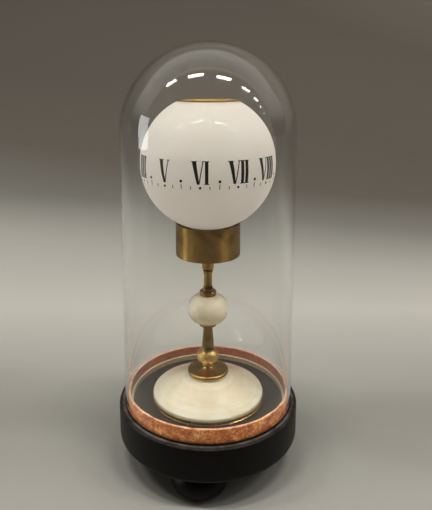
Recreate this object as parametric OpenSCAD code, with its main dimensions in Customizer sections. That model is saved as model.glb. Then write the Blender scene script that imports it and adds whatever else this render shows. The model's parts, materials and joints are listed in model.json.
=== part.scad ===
// Night light clock: a glass globe dial that turns on a brass and onyx stand, under a glass dome.
// Millimetres, +Z up. The origin is on the floor in the middle of the feet, and the front faces -Y.

/* [Dome stand] */
// Height of a bun foot
bun_h = 20; // [14:0.5:24]
// Radius of the flat that a bun foot stands on
bun_flat_r = 10; // [6:0.5:12]
// Distance from the axis to the middle of each foot
bun_reach = 42; // [36:0.5:45]
// Direction of the front foot
bun_turn = -98; // [-120:1:-60]
// Radius of the dowel that pegs a foot into the base
bun_dowel_r = 3.5; // [2:0.25:4.5]
// Length of that dowel
bun_dowel_h = 12; // [6:0.5:16]
// Height of the wooden base without its feet
base_h = 26; // [20:0.5:34]
// How far the base stands out beyond the glass
base_margin = 4.4; // [3:0.1:12]
// Radius of the rounded lower edge of the base
base_round = 4.5; // [2:0.5:12]
// Radius of the eased upper edge of the base
base_ease = 1.5; // [0.5:0.1:2.5]

/* [Glass dome] */
// Outside diameter of the dome
dome_d = 123.8; // [114:0.2:132]
// Thickness of the glass
dome_wall = 2; // [1.6:0.1:3]
// Height of the dome from its groove to its top
dome_h = 263.4; // [250:0.2:290]
// Depth of the groove that the dome stands in
groove_depth = 1.5; // [1:0.1:3]
// Gap between the glass and each side of the groove
groove_gap = 0.4; // [0.2:0.05:0.8]

/* [Plush band] */
// Thickness of the plush
band_t = 1.9; // [1:0.1:3]
// Height of the plush band
band_h = 10.8; // [7:0.2:16]
// Gap between the plush and the glass
band_gap = 0.4; // [0.3:0.05:1]
// Thickness of the seat ring that the plush is glued to
seat_t = 1.6; // [1:0.1:3]
// Height of the seat ring
seat_h = 3.6; // [2.6:0.2:7]

/* [Clock foot] */
// Outside diameter of the brass pan under the foot
pan_d = 84; // [74:0.2:90]
// Height of the pan
pan_h = 3.6; // [3:0.1:5]
// Thickness of the pan's sheet
pan_t = 1.2; // [0.8:0.1:1.5]
// Depth of the groove turned into the pan's rim
pan_groove = 0.5; // [0.2:0.05:0.7]
// How far the onyx edge lies inside the pan's rim
onyx_setback = 0.8; // [0.3:0.1:2]
// Radius of the rounded onyx edge
onyx_edge_r = 1.3; // [0.8:0.1:4]
// Height of the onyx foot
onyx_h = 15.3; // [12:0.1:20]
// Radius of the flat top of the onyx foot
onyx_top_r = 13.6; // [11:0.1:14.5]

/* [Column] */
// Diameter of the brass cap on the foot
cap_d = 30.6; // [28:0.2:36]
// Height of the cap's rim
cap_rim_h = 1.2; // [0.8:0.1:2]
// Rise of the cap above its rim
cap_rise = 3.6; // [2.5:0.1:5]
// Radius of the cap's neck
cap_neck_r = 3.4; // [3:0.1:4]
// Height of the cap's neck
cap_neck_h = 2.2; // [1.5:0.1:3]
// Radius of the ring above the neck
column_ring_r = 4.9; // [4.4:0.1:6]
// Height of that ring
column_ring_h = 1.6; // [1:0.1:2.5]
// Largest radius of the vase bulb
vase_r = 8.2; // [7.4:0.1:9.5]
// Height of the lower half of the vase bulb
vase_low_h = 4.2; // [3:0.1:6]
// Height of the upper half of the vase bulb
vase_high_h = 10.4; // [6:0.1:13]
// Radius of the column above the vase
column_low_r = 4.3; // [3.9:0.1:5]
// Radius of the column under the ball
column_high_r = 3.5; // [3:0.1:3.8]
// Length of the tapered column
column_taper_h = 14.2; // [10:0.1:20]
// Radius of the flanges that hold the onyx ball
flange_r = 6.2; // [5.5:0.1:7.5]
// Height of the lower flange
low_flange_h = 2.1; // [1.5:0.1:3]
// Largest radius of the onyx ball
ball_r = 15.2; // [13.5:0.1:17]
// Height of the onyx ball between its flanges
ball_h = 21.4; // [20:0.2:24]
// Height of the upper flange
high_flange_h = 3.4; // [2:0.1:4]
// Radius of the flare above the upper flange
flare_r = 3.95; // [3.6:0.05:4.5]
// Height of the flare
flare_h = 2.5; // [1.5:0.1:3.5]
// Radius of the neck under the drum
neck_r = 3.05; // [2.7:0.05:3.5]
// Height of that neck
neck_h = 10.7; // [8:0.1:13]
// Radius of the ring on that neck
bead_r = 3.6; // [3.3:0.05:3.9]
// Height of that ring
bead_h = 2.25; // [1:0.05:3]
// Radius of the groove under the collar
groove_r = 2.4; // [2.3:0.05:3.2]
// Height of that groove
neck_groove_h = 1.2; // [0.5:0.05:2.5]
// Radius of the collar under the drum
collar_r = 4.45; // [4:0.05:6]
// Height of that collar
collar_h = 10.95; // [7:0.05:13]
// Radius of the rod that ties the stand together
rod_r = 1.6; // [1.2:0.05:1.9]
// Gap round the rod
rod_gap = 0.2; // [0.1:0.05:0.3]
// Width of the rod's nuts across their corners
nut_d = 8; // [6.5:0.1:9]
// Height of the rod's nuts
nut_h = 2; // [1.4:0.1:2.2]

/* [Drum] */
// Thickness of the drum's wall
drum_wall = 1; // [0.8:0.1:1.6]
// Thickness of the drum's floor
drum_floor_t = 1.4; // [1:0.1:2]
// Radius of the drum's lower outer edge
drum_edge_r = 0.8; // [0.4:0.1:1.2]
// How far the drum's mouth stands above the table
drum_rise = 4.55; // [3:0.05:6]
// Gap between the movement's plates and the drum
plate_gap = 1.8; // [1:0.1:3]

/* [Globe] */
// Outside diameter of the globe
globe_d = 96; // [88:0.5:104]
// Thickness of the globe's glass
globe_wall = 2.5; // [2:0.1:3]
// Radius of the opening at the top
globe_mouth_r = 21.6; // [20:0.2:26]
// Radius of the hole at the bottom
globe_hole_r = 12; // [10.8:0.1:13]
// Gap between the table and the lowest point of the globe's curve
globe_lift = 0.65; // [0.4:0.05:1.2]
// Width of the brass rim's flange
rim_w = 1.7; // [1:0.1:2.5]
// Thickness of the brass rim
rim_t = 0.6; // [0.4:0.05:1]
// Depth of the rim's sleeve inside the glass
rim_sleeve_h = 2; // [1:0.1:2.4]

/* [Globe table] */
// Thickness of the table
table_t = 1.2; // [0.8:0.1:2]
// Gap between the table and the drum's wall
table_gap = 1.6; // [0.8:0.1:3]
// Outer radius of the seat under the globe
globe_seat_r = 16.5; // [15:0.1:17.5]
// Wall of the tube that holds the globe
tube_wall = 1.6; // [1:0.1:2]
// How far the tube's end lies below the top of its ring nut
tube_setback = 0.4; // [0.2:0.1:1]
// Width of the ring nut on the tube
clamp_w = 3.8; // [3:0.1:5]
// Height of the ring nut
clamp_h = 2.4; // [1.6:0.1:3.5]

/* [Night light] */
// Outside radius of the lamp cup
cup_r = 15; // [14:0.1:18]
// Height of the lamp cup
cup_h = 14; // [10:0.5:20]
// Thickness of the cup's sheet
cup_t = 0.8; // [0.5:0.1:1.2]
// Height of the wax
wax_h = 10; // [6:0.5:12]
// Radius of the wick
wick_r = 0.6; // [0.4:0.05:1]
// Length of wick that stands above the wax
wick_h = 6; // [4:0.5:10]

/* [Movement frame] */
// Diameter of the movement's plates
plate_d = 41; // [40:0.2:46]
// Thickness of a plate
plate_t = 1.4; // [1:0.1:2]
// Gap between the top of the train and the upper plate
frame_gap = 0.6; // [0.3:0.1:2]
// Radius of a pillar
pillar_r = 1.5; // [1.3:0.05:1.8]
// Radius of the circle of pillars
pillar_reach = 16; // [15.5:0.1:16.5]
// Height of the posts that carry the movement in the drum
post_h = 3.2; // [3:0.1:4]
// Radius of a post
post_r = 1.7; // [1.5:0.05:2]
// Radius of the circle of posts
post_reach = 17.3; // [16:0.1:18]
// Radius of the screws
screw_r = 0.8; // [0.6:0.05:0.9]
// Radius of a screw head
head_r = 1.4; // [1.2:0.05:1.6]
// Height of a screw head
head_h = 0.8; // [0.5:0.05:1]
// Width of the bearing ring
bearing_w = 2; // [1:0.1:2.3]
// Radius of the thin pivots
pivot_r = 0.3; // [0.25:0.01:0.35]

/* [Going train] */
// Module of the barrel teeth
barrel_m = 0.28; // [0.26:0.005:0.29]
// Height of the barrel without its cover
barrel_h = 4; // [3.4:0.1:4.2]
// Thickness of the barrel's cover
barrel_cover_t = 0.6; // [0.4:0.05:0.8]
// Thickness of the barrel's wall
barrel_wall = 0.8; // [0.6:0.05:1]
// Thickness of the mainspring
mainspring_t = 0.3; // [0.2:0.02:0.4]
// Module of the centre wheel
centre_m = 0.2; // [0.19:0.005:0.21]
// Module of the third wheel
third_m = 0.18; // [0.17:0.005:0.185]
// Module of the fourth wheel
fourth_m = 0.16; // [0.15:0.005:0.165]
// Thickness of the train's wheels
wheel_t = 0.5; // [0.4:0.02:0.6]
// Radius of the train's arbors
arbor_r = 0.42; // [0.38:0.01:0.46]

/* [Escapement] */
// Radius of the escape wheel
escape_r = 4; // [3.8:0.05:4.2]
// Half swing of the lever
lever_bank = 4; // [3.6:0.1:4.4]
// Radius of the lever's pins
pin_r = 0.15; // [0.12:0.01:0.16]
// Distance from the lever's axis to the impulse pin
fork_r = 2.5; // [2.3:0.05:2.7]
// Distance from the balance's axis to the impulse pin
impulse_r = 2.5; // [2.4:0.05:2.7]
// Radius of the balance wheel
balance_r = 7; // [6.2:0.1:7.2]
// Outer radius of the hairspring
hairspring_r = 4.2; // [3.4:0.1:4.4]
// Thickness of the hairspring
hairspring_t = 0.14; // [0.1:0.01:0.18]

/* [Motion work] */
// Module of the motion work
motion_m = 0.45; // [0.42:0.01:0.46]
// Thickness of the motion work's wheels
motion_t = 0.8; // [0.6:0.05:0.9]
// Radius of the cannon pinion's pipe
cannon_r = 1.5; // [1.35:0.05:1.6]
// Radius of the hour wheel's pipe
hour_pipe_r = 2.6; // [2.3:0.05:3]
// Radius of the centre arbor
centre_r = 0.9; // [0.8:0.02:0.95]
// Radius of the post that carries the minute wheel
minute_post_r = 0.8; // [0.6:0.05:0.85]

/* [Winding] */
// Radius of the barrel arbor
winding_r = 1.2; // [1.1:0.05:1.4]
// Radius of the barrel arbor's hub
winding_hub_r = 2.2; // [1.8:0.1:2.6]
// Width of the winding square
square_w = 1.6; // [1.4:0.05:1.6]
// How far the square stands out under the drum
square_reach = 5.2; // [3:0.1:8]
// Radius of the ratchet wheel
ratchet_r = 4; // [3.6:0.1:4.4]
// Depth of the ratchet's teeth
ratchet_depth = 0.6; // [0.4:0.05:0.8]
// Thickness of the ratchet and its click
ratchet_t = 1.2; // [0.8:0.05:1.4]

/* [Fits] */
// Radial clearance of an arbor or pipe that turns
run_fit = 0.05; // [0.02:0.01:0.08]
// Radial clearance of pieces that are pressed or screwed together
set_fit = 0.02; // [0.01:0.01:0.05]
// Gap at the end of an arbor, and between a wheel and its neighbour's teeth
end_shake = 0.1; // [0.05:0.01:0.15]
// Gap between a glass curve and the metal that holds it
glass_gap = 0.1; // [0.05:0.01:0.3]

/* [Hidden] */

$fn = 96;
// How far a cutting shape runs past the face it cuts
cut = 1;
// Straight pieces in each curve of a turned profile
curve_steps = 12;
// Straight pieces in each turn of a flat spring
spring_steps = 16;

// Heights from the floor up
deck_z = bun_h + base_h;
pan_top_z = deck_z + pan_h;
cap_z = pan_top_z + onyx_h;
column_z = cap_z + cap_rim_h + cap_rise + cap_neck_h;
column_h = column_ring_h + vase_low_h + vase_high_h + column_taper_h + low_flange_h;
ball_z = column_z + column_h;
upper_z = ball_z + ball_h;
upper_h = high_flange_h + flare_h + neck_h + bead_h;
collar_z = upper_z + upper_h;
drum_z = collar_z + neck_groove_h + collar_h;
drum_floor_z = drum_z + drum_floor_t;
lower_plate_z = drum_floor_z + post_h;
train_z = lower_plate_z + plate_t;

// Heights inside the train
barrel_z = train_z + 4 * end_shake;
barrel_tooth_h = 2 * wheel_t;
barrel_floor_t = barrel_wall;
barrel_top_z = barrel_z + barrel_h + barrel_cover_t;
centre_wheel_z = barrel_top_z + 8 * end_shake;
fourth_wheel_z = centre_wheel_z - wheel_t - 7 * end_shake;
escape_wheel_z = train_z + 2 * wheel_t;
lever_z = escape_wheel_z + wheel_t + 6 * end_shake;
lever_t = wheel_t;
cock_z = lever_z + lever_t + 3 * end_shake;
cock_t = wheel_t;
roller_z = cock_z;
roller_t = 0.8 * wheel_t;
balance_z = cock_z + cock_t + 3 * end_shake;
balance_t = 1.6 * wheel_t;
third_wheel_z = cock_z - 3 * end_shake;
hairspring_z = balance_z + balance_t + wheel_t;
hairspring_w = wheel_t;
pinion_over = 3 * end_shake;
train_top_z = max(centre_wheel_z + wheel_t + pinion_over, hairspring_z + hairspring_w);

// Heights above the train
upper_plate_z = train_top_z + frame_gap;
pillar_h = upper_plate_z - train_z;
motion_z = upper_plate_z + plate_t;
cannon_z = motion_z + end_shake;
minute_wheel_z = motion_z + 5 * end_shake;
hour_wheel_z = minute_wheel_z + motion_t + 4 * end_shake;
minute_top_z = hour_wheel_z + motion_t + 2 * end_shake;
minute_post_z = minute_top_z + end_shake;
bearing_h = minute_post_z + 2 * end_shake - motion_z;
table_z = motion_z + bearing_h + run_fit;
table_top_z = table_z + table_t;
drum_top_z = table_top_z + drum_rise;
globe_r = globe_d / 2;
globe_z = table_top_z + globe_lift + globe_r;

// Radii that follow from other pieces
dome_r = dome_d / 2;
dome_in_r = dome_r - dome_wall;
base_r = dome_r + base_margin;
bun_bulge_r = bun_h / 2;
band_out_r = dome_in_r - band_gap;
seat_out_r = band_out_r - band_t;
pan_r = pan_d / 2;
onyx_r = pan_r - onyx_setback;
cap_r = cap_d / 2;
rod_hole_r = rod_r + rod_gap;
plate_r = plate_d / 2;
drum_in_r = plate_r + plate_gap;
drum_r = drum_in_r + drum_wall;
table_r = drum_in_r - table_gap;
globe_in_r = globe_r - globe_wall;
tube_r = globe_hole_r - 4 * glass_gap;
clamp_r = tube_r + clamp_w;
bearing_r = plate_r - end_shake * 5;
cup_in_r = cup_r - cup_t;

// How far the onyx foot's curve keeps its edge slope and its top slope, as shares of its run
onyx_slope_pull = 0.35;
onyx_rise_pull = 0.24;

// Centres of a circle that meets two given points, for the cap's dome and the ball's side
cap_dome_r = (pow(cap_r, 2) + pow(cap_rise, 2) - pow(cap_neck_r, 2)) / (2 * cap_rise);
ball_arc_x = (pow(ball_r, 2) - pow(flange_r, 2) - pow(ball_h / 2, 2)) / (2 * (ball_r - flange_r));
ball_arc_r = ball_r - ball_arc_x;

// Heights inside the globe
clamp_z = globe_z - sqrt(pow(globe_in_r, 2) - pow(clamp_r, 2)) + glass_gap;
cup_z = clamp_z + clamp_h;
wax_z = cup_z + cup_t;
tube_top_z = clamp_z + clamp_h - tube_setback;
mouth_z = globe_z + sqrt(pow(globe_r, 2) - pow(globe_mouth_r, 2));

// Tooth counts
barrel_teeth = 60;
centre_leaves = 10;
centre_teeth = 64;
third_leaves = 8;
third_teeth = 60;
fourth_leaves = 8;
fourth_teeth = 60;
escape_leaves = 8;
escape_teeth = 15;
cannon_leaves = 10;
minute_teeth = 30;
minute_leaves = 8;
hour_teeth = 32;
ratchet_teeth = 24;

// Shape of a gear tooth, in modules: addendum, dedendum, share of the pitch, and pressure angle
tooth_add = 0.7;
tooth_ded = 1;
tooth_share = 0.42;
pressure = 25;

// Rim below the pitch circle and arm width of a crossed wheel, in modules
wheel_rim = 4.5;
wheel_arm = 4;

// Directions in which each arbor lies from the one before it
barrel_turn = 90;
third_turn = -30;
fourth_turn = 215;
escape_turn = 200;
lever_turn = 138;
minute_turn = 0;
pillar_turns = [40, 140, 235, 320];
post_turns = [20, 160, 270];
pin_turn = 30;
cock_reach = 4;

// Places of the arbors in plan
barrel_at = polar(mesh_gap(barrel_teeth, centre_leaves, barrel_m), barrel_turn);
third_at = polar(mesh_gap(centre_teeth, third_leaves, centre_m), third_turn);
fourth_at = third_at + polar(mesh_gap(third_teeth, fourth_leaves, third_m), fourth_turn);
escape_at = fourth_at + polar(mesh_gap(fourth_teeth, escape_leaves, fourth_m), escape_turn);
lever_at = escape_at + polar(escape_r / cos(pin_turn), lever_turn);
balance_at = lever_at + polar(fork_r + impulse_r, lever_turn);
cock_at = lever_at + polar(cock_reach, lever_turn + 90);
minute_at = polar(mesh_gap(minute_teeth, cannon_leaves, motion_m), minute_turn);

// Turn of each wheel that puts its teeth in mesh
centre_phase = mesh_phase(0, barrel_turn + 180, barrel_teeth, centre_leaves);
third_phase = mesh_phase(0, third_turn, centre_teeth, third_leaves);
fourth_phase = mesh_phase(0, fourth_turn, third_teeth, fourth_leaves);
escape_phase = mesh_phase(0, escape_turn, fourth_teeth, escape_leaves);
minute_phase = mesh_phase(0, minute_turn, cannon_leaves, minute_teeth);
hour_phase = mesh_phase(0, minute_turn + 180, minute_leaves, hour_teeth);

// Sizes inside the barrel
barrel_r = pitch_r(barrel_teeth, barrel_m);
barrel_body_r = barrel_r - (tooth_ded + tooth_add) * barrel_m;
barrel_in_r = barrel_body_r - barrel_wall;
mainspring_turns = 5;
mainspring_gap = 0.3;

// Sizes of the escapement
pin_circle_r = escape_r + pin_r + 0.5 * end_shake - escape_r * tan(pin_turn) * sin(lever_bank);
lock_gap = 0.5 * end_shake;
locked_r = pin_circle_r - escape_r * tan(pin_turn) * sin(lever_bank);
escape_tooth_depth = 1;
escape_rim = 0.8;
escape_hub_r = 2.4 * arbor_r;
escape_arm_w = 1.4 * arbor_r;
escape_tip_turn = 3.6;
escape_root_turn = 11;
escape_lock = lever_turn + pin_turn - asin((pin_r + lock_gap) / locked_r);
fork_slot_w = 2 * (pin_r + fork_r * sin(lever_bank) + lock_gap);
fork_tip_r = fork_r + 0.5 * end_shake;
fork_prong = 0.3;
fork_slot_r = fork_r - 2.4 * pin_r;
lever_arm_w = 0.7;
lever_boss_r = 0.8;
pin_boss_r = 0.35;
balance_rim = 1;
balance_arm_w = 1;
balance_arms = 3;
staff_r = 0.5;
collet_r = 0.9;
roller_r = impulse_r + pin_r + 2.5 * end_shake;
hairspring_turns = 4;
stud_r = 0.4;

// Sizes of the winding work
ratchet_z = drum_floor_z + post_h - ratchet_t - 8 * end_shake;
square_hole_r = winding_r + 10 * end_shake;
click_turn = 125;
click_pivot = [3.4, -5];
click_boss_r = 1.2;
click_screw_r = 0.7;
click_nose_in = 0.1;
click_back = [ratchet_r + 2 * ratchet_depth, -click_nose_in];
click_spring_t = 0.25;
click_spring_h = 3;

// A point at a distance and direction
function polar(r, a) = [r * cos(a), r * sin(a)];

// Pitch radius of a wheel
function pitch_r(teeth, m) = teeth * m / 2;

// Distance between two wheels in mesh
function mesh_gap(teeth_a, teeth_b, m) = pitch_r(teeth_a + teeth_b, m);

// Turn of wheel b that meshes it with wheel a, which is turned by turn_a and sees b in the given direction
function mesh_phase(turn_a, toward, teeth_a, teeth_b) =
    toward + 180 - teeth_a / teeth_b * (turn_a - toward) - 180 / teeth_b;

// Angle by which an involute has turned from its base circle, in degrees
function involute(a) = tan(a) * 180 / PI - a;

// Half the angle that a tooth takes up at radius r
function half_tooth(r, teeth, m) =
    let (base_r = pitch_r(teeth, m) * cos(pressure))
    tooth_share * 180 / teeth + involute(pressure) - involute(acos(min(1, base_r / r)));

// Outline of a toothed wheel, with the given steps along each flank
function gear_outline(teeth, m, steps) =
    let (
        root_r = pitch_r(teeth, m) - tooth_ded * m,
        tip_r = pitch_r(teeth, m) + tooth_add * m,
        foot_r = max(root_r, pitch_r(teeth, m) * cos(pressure)),
        flank = [for (i = [0:steps]) foot_r + (tip_r - foot_r) * i / steps],
        radii = root_r < foot_r ? concat([root_r], flank) : flank,
        last = len(radii) - 1
    )
    [for (k = [0:teeth - 1], side = [-1, 1], i = [0:last])
        let (r = radii[side < 0 ? i : last - i])
        polar(r, k * 360 / teeth + side * half_tooth(r, teeth, m))];

// Points of an arc
function arc(centre, r, from, to) =
    [for (i = [0:curve_steps]) centre + polar(r, from + (to - from) * i / curve_steps)];

// Points of a smooth curve from a to d that leaves a towards b and comes to d from c
function curve(a, b, c, d) =
    [for (i = [0:curve_steps])
        let (t = i / curve_steps, s = 1 - t)
        s * s * s * a + 3 * s * s * t * b + 3 * s * t * t * c + t * t * t * d];

// Outline of a flat spiral strip
function spiral(r_in, r_out, turns, t, from) =
    let (
        count = turns * spring_steps,
        side = function (offset)
            [for (i = [0:count])
                polar(r_in + (r_out - r_in) * i / count + offset, from + 360 * turns * i / count)]
    )
    concat(side(0), [for (i = [count:-1:0]) side(t)[i]]);

// Moves children to a place in plan and a height
module put(place, z) {
    translate([place[0], place[1], z])
        children();
}

// A turned piece from an outline of radius and height
module turned(outline) {
    rotate_extrude()
        polygon(outline);
}

// A plain ring
module ring(r_out, r_in, h) {
    difference() {
        cylinder(r = r_out, h = h);
        translate([0, 0, -cut])
            cylinder(r = r_in, h = h + 2 * cut);
    }
}

// A solid toothed wheel
module pinion(teeth, m, h, steps) {
    linear_extrude(h)
        polygon(gear_outline(teeth, m, steps));
}

// A toothed wheel with four arms
module crossed_wheel(teeth, m, h, hub_r, bore_r, steps) {
    rim_in_r = pitch_r(teeth, m) - wheel_rim * m;
    arm_w = wheel_arm * m;
    linear_extrude(h)
        difference() {
            polygon(gear_outline(teeth, m, steps));
            difference() {
                circle(r = rim_in_r);
                circle(r = hub_r);
                for (a = [0, 90])
                    rotate(a)
                        square([2 * rim_in_r + cut, arm_w], center = true);
            }
            circle(r = bore_r);
        }
}

// An arbor that turns between the plates on thin pivots
module pivoted_arbor(r) {
    put([0, 0], train_z + end_shake)
        cylinder(r = r, h = pillar_h - 2 * end_shake);
    put([0, 0], lower_plate_z)
        cylinder(r = pivot_r, h = pillar_h + 2 * plate_t);
}

// A screw: a shank with a head on top
module screw(shank_h) {
    translate([0, 0, -shank_h])
        cylinder(r = screw_r, h = shank_h);
    cylinder(r = head_r, h = head_h);
}

// Wooden base with a groove for the glass and holes for the dowels
module wood_base() {
    color("#15110d")
    difference() {
        put([0, 0], bun_h)
            turned(concat(
                [[0, 0]],
                arc([base_r - base_round, base_round], base_round, -90, 0),
                arc([base_r - base_ease, base_h - base_ease], base_ease, 0, 90),
                [[0, base_h]]
            ));
        put([0, 0], deck_z - groove_depth)
            ring(dome_r + groove_gap, dome_in_r - groove_gap, groove_depth + cut);
        for (k = [0:2])
            put(polar(bun_reach, bun_turn + 120 * k), bun_h - cut)
                cylinder(r = bun_dowel_r + set_fit, h = bun_dowel_h + cut);
    }
}

// Three bun feet with their dowels
module bun_feet() {
    color("#15110d")
    for (k = [0:2])
        put(polar(bun_reach, bun_turn + 120 * k), 0) {
            rotate_extrude()
                intersection() {
                    union() {
                        square([bun_flat_r, bun_h]);
                        translate([bun_flat_r, bun_bulge_r])
                            circle(r = bun_bulge_r);
                    }
                    square([bun_flat_r + bun_h, bun_h]);
                }
            cylinder(r = bun_dowel_r, h = bun_h + bun_dowel_h - end_shake);
        }
}

// Low ring on the deck
module seat_ring() {
    color("#7d6f52")
    put([0, 0], deck_z)
        ring(seat_out_r, seat_out_r - seat_t, seat_h);
}

// Plush strip round the seat ring, with a soft upper edge
module plush_band() {
    color("#b06a3c")
    put([0, 0], deck_z)
        turned(concat(
            [[seat_out_r + set_fit, 0], [band_out_r, 0]],
            arc([(band_out_r + seat_out_r + set_fit) / 2, band_h - (band_t - set_fit) / 2],
                (band_t - set_fit) / 2, 0, 180)
        ));
}

// Glass dome: a tube closed by half a sphere
module glass_dome() {
    shoulder_z = deck_z - groove_depth + dome_h - dome_r;
    color("#dfe8e6", 0.25)
    difference() {
        union() {
            put([0, 0], deck_z - groove_depth)
                cylinder(r = dome_r, h = dome_h - dome_r);
            put([0, 0], shoulder_z)
                sphere(r = dome_r);
        }
        put([0, 0], deck_z - groove_depth - dome_r)
            cylinder(r = dome_in_r, h = dome_h);
        put([0, 0], shoulder_z)
            sphere(r = dome_in_r);
    }
}

// Brass pan with a grooved rim, hollow underneath for the nut
module foot_pan() {
    rim_mid = pan_h / 2;
    color("#8a6a34")
    put([0, 0], deck_z)
        turned([
            [rod_hole_r, pan_h - pan_t],
            [pan_r - pan_t - pan_groove, pan_h - pan_t],
            [pan_r - pan_t - pan_groove, 0],
            [pan_r, 0],
            [pan_r, rim_mid - pan_groove],
            [pan_r - pan_groove, rim_mid],
            [pan_r, rim_mid + pan_groove],
            [pan_r, pan_h],
            [rod_hole_r, pan_h]
        ]);
}

// Onyx foot: a rounded edge, a gentle slope and a steeper rise to the cap
module onyx_foot() {
    edge_turn = 72;
    rise_turn = 35;
    slope_run = onyx_slope_pull * (onyx_r - onyx_top_r);
    rise_run = onyx_rise_pull * (onyx_r - onyx_top_r);
    edge_centre = [onyx_r - onyx_edge_r, onyx_edge_r];
    slope_start = edge_centre + polar(onyx_edge_r, edge_turn);
    slope_end = [onyx_top_r, onyx_h];
    color("#e4d5af")
    put([0, 0], pan_top_z)
        turned(concat(
            [[rod_hole_r, 0], [onyx_r, 0]],
            arc(edge_centre, onyx_edge_r, 0, edge_turn),
            curve(slope_start, slope_start + polar(slope_run, edge_turn + 90),
                slope_end + polar(rise_run, -rise_turn), slope_end),
            [[rod_hole_r, onyx_h]]
        ));
}

// Brass cap: a rim, a low dome and a waisted neck
module foot_cap() {
    dome_z = cap_rim_h + cap_rise;
    dome_turn = asin(cap_r / cap_dome_r);
    neck_turn = asin(cap_neck_r / cap_dome_r);
    neck_top_r = column_ring_r - end_shake * 5;
    dome_centre = [0, cap_rim_h - cap_dome_r * cos(dome_turn)];
    dome_curve = arc(dome_centre, cap_dome_r, 90 - dome_turn, 90 - neck_turn);
    neck_start = dome_curve[curve_steps];
    color("#8a6a34")
    put([0, 0], cap_z)
        turned(concat(
            [[rod_hole_r, 0], [cap_r, 0]],
            dome_curve,
            curve(neck_start, [cap_neck_r, dome_z + cap_neck_h / 2],
                [cap_neck_r, dome_z + cap_neck_h / 2], [neck_top_r, dome_z + cap_neck_h]),
            [[rod_hole_r, dome_z + cap_neck_h]]
        ));
}

// Brass ring, vase bulb, tapered column and lower flange
module lower_column() {
    vase_z = column_ring_h + vase_low_h;
    taper_z = vase_z + vase_high_h;
    flange_z = taper_z + column_taper_h;
    ring_edge = column_ring_h / 2;
    waist_r = column_ring_r - ring_edge / 2;
    color("#8a6a34")
    put([0, 0], column_z)
        turned(concat(
            [[rod_hole_r, 0]],
            arc([column_ring_r - ring_edge, ring_edge], ring_edge, -90, 90),
            curve([waist_r, column_ring_h], [vase_r, column_ring_h + vase_low_h / 4],
                [vase_r, vase_z - vase_low_h / 3], [vase_r, vase_z]),
            curve([vase_r, vase_z], [vase_r, vase_z + vase_high_h / 2],
                [column_low_r, vase_z + vase_high_h / 3], [column_low_r, taper_z]),
            curve([column_low_r, taper_z], [column_low_r, taper_z + column_taper_h / 3],
                [column_high_r, taper_z + column_taper_h / 3], [column_high_r, flange_z]),
            [[flange_r, flange_z], [flange_r, flange_z + low_flange_h],
                [rod_hole_r, flange_z + low_flange_h]]
        ));
}

// Flattened onyx ball
module onyx_ball() {
    flat_turn = asin(ball_h / 2 / ball_arc_r);
    color("#ead9b8")
    put([0, 0], ball_z + ball_h / 2)
        turned(concat(
            [[rod_hole_r, -ball_h / 2]],
            arc([ball_arc_x, 0], ball_arc_r, -flat_turn, 0),
            arc([ball_arc_x, 0], ball_arc_r, 0, flat_turn),
            [[rod_hole_r, ball_h / 2]]
        ));
}

// Brass upper flange, flare, neck and ring
module upper_column() {
    flare_z = high_flange_h + flare_h;
    neck_z = flare_z + neck_h;
    flange_edge = high_flange_h / 3;
    color("#8a6a34")
    put([0, 0], upper_z)
        turned(concat(
            [[rod_hole_r, 0], [flange_r, 0]],
            arc([flange_r - flange_edge, high_flange_h - flange_edge], flange_edge, 0, 90),
            [[flare_r, high_flange_h]],
            curve([flare_r, high_flange_h], [flare_r, high_flange_h + flare_h],
                [neck_r, flare_z], [neck_r, flare_z + neck_h / 3]),
            [[neck_r, neck_z], [bead_r, neck_z], [bead_r, neck_z + bead_h], [rod_hole_r, neck_z + bead_h]]
        ));
}

// Brass collar with a groove under it
module drum_collar() {
    color("#8a6a34")
    put([0, 0], collar_z)
        turned([
            [rod_hole_r, 0], [groove_r, 0], [groove_r, neck_groove_h], [collar_r, neck_groove_h],
            [collar_r, neck_groove_h + collar_h], [rod_hole_r, neck_groove_h + collar_h]
        ]);
}

// Rod through the stand
module tie_rod() {
    low = deck_z + pan_h - pan_t - nut_h;
    high = drum_floor_z + nut_h + 4 * end_shake;
    color("#6b6b6b")
    put([0, 0], low)
        cylinder(r = rod_r, h = high - low);
}

// Nut under the pan and nut inside the drum
module tie_nuts() {
    color("#7a6436")
    for (z = [deck_z + pan_h - pan_t - nut_h, drum_floor_z])
        put([0, 0], z)
            difference() {
                cylinder(d = nut_d, h = nut_h, $fn = 6);
                translate([0, 0, -cut])
                    cylinder(r = rod_r + set_fit, h = nut_h + 2 * cut);
            }
}

// Spun brass cup for the movement
module drum_case() {
    color("#8c6f3c")
    difference() {
        put([0, 0], drum_z)
            turned(concat(
                [[rod_hole_r, 0]],
                arc([drum_r - drum_edge_r, drum_edge_r], drum_edge_r, -90, 0),
                [[drum_r, drum_top_z - drum_z], [drum_in_r, drum_top_z - drum_z],
                    [drum_in_r, drum_floor_t], [rod_hole_r, drum_floor_t]]
            ));
        put(barrel_at, drum_z - cut)
            cylinder(r = square_hole_r, h = drum_floor_t + 2 * cut);
        for (a = post_turns)
            put(polar(post_reach, a), drum_z - cut)
                cylinder(r = screw_r + set_fit, h = drum_floor_t + 2 * cut);
    }
}

// Three posts between the drum's floor and the lower plate
module movement_posts() {
    color("#b08d4a")
    for (a = post_turns)
        put(polar(post_reach, a), drum_floor_z)
            ring(post_r, screw_r + set_fit, post_h);
}

// Three screws up through the drum's floor
module movement_screws() {
    color("#5a5a60")
    for (a = post_turns)
        put(polar(post_reach, a), drum_z)
            mirror([0, 0, 1])
                screw(drum_floor_t + post_h + plate_t - end_shake);
}

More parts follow.
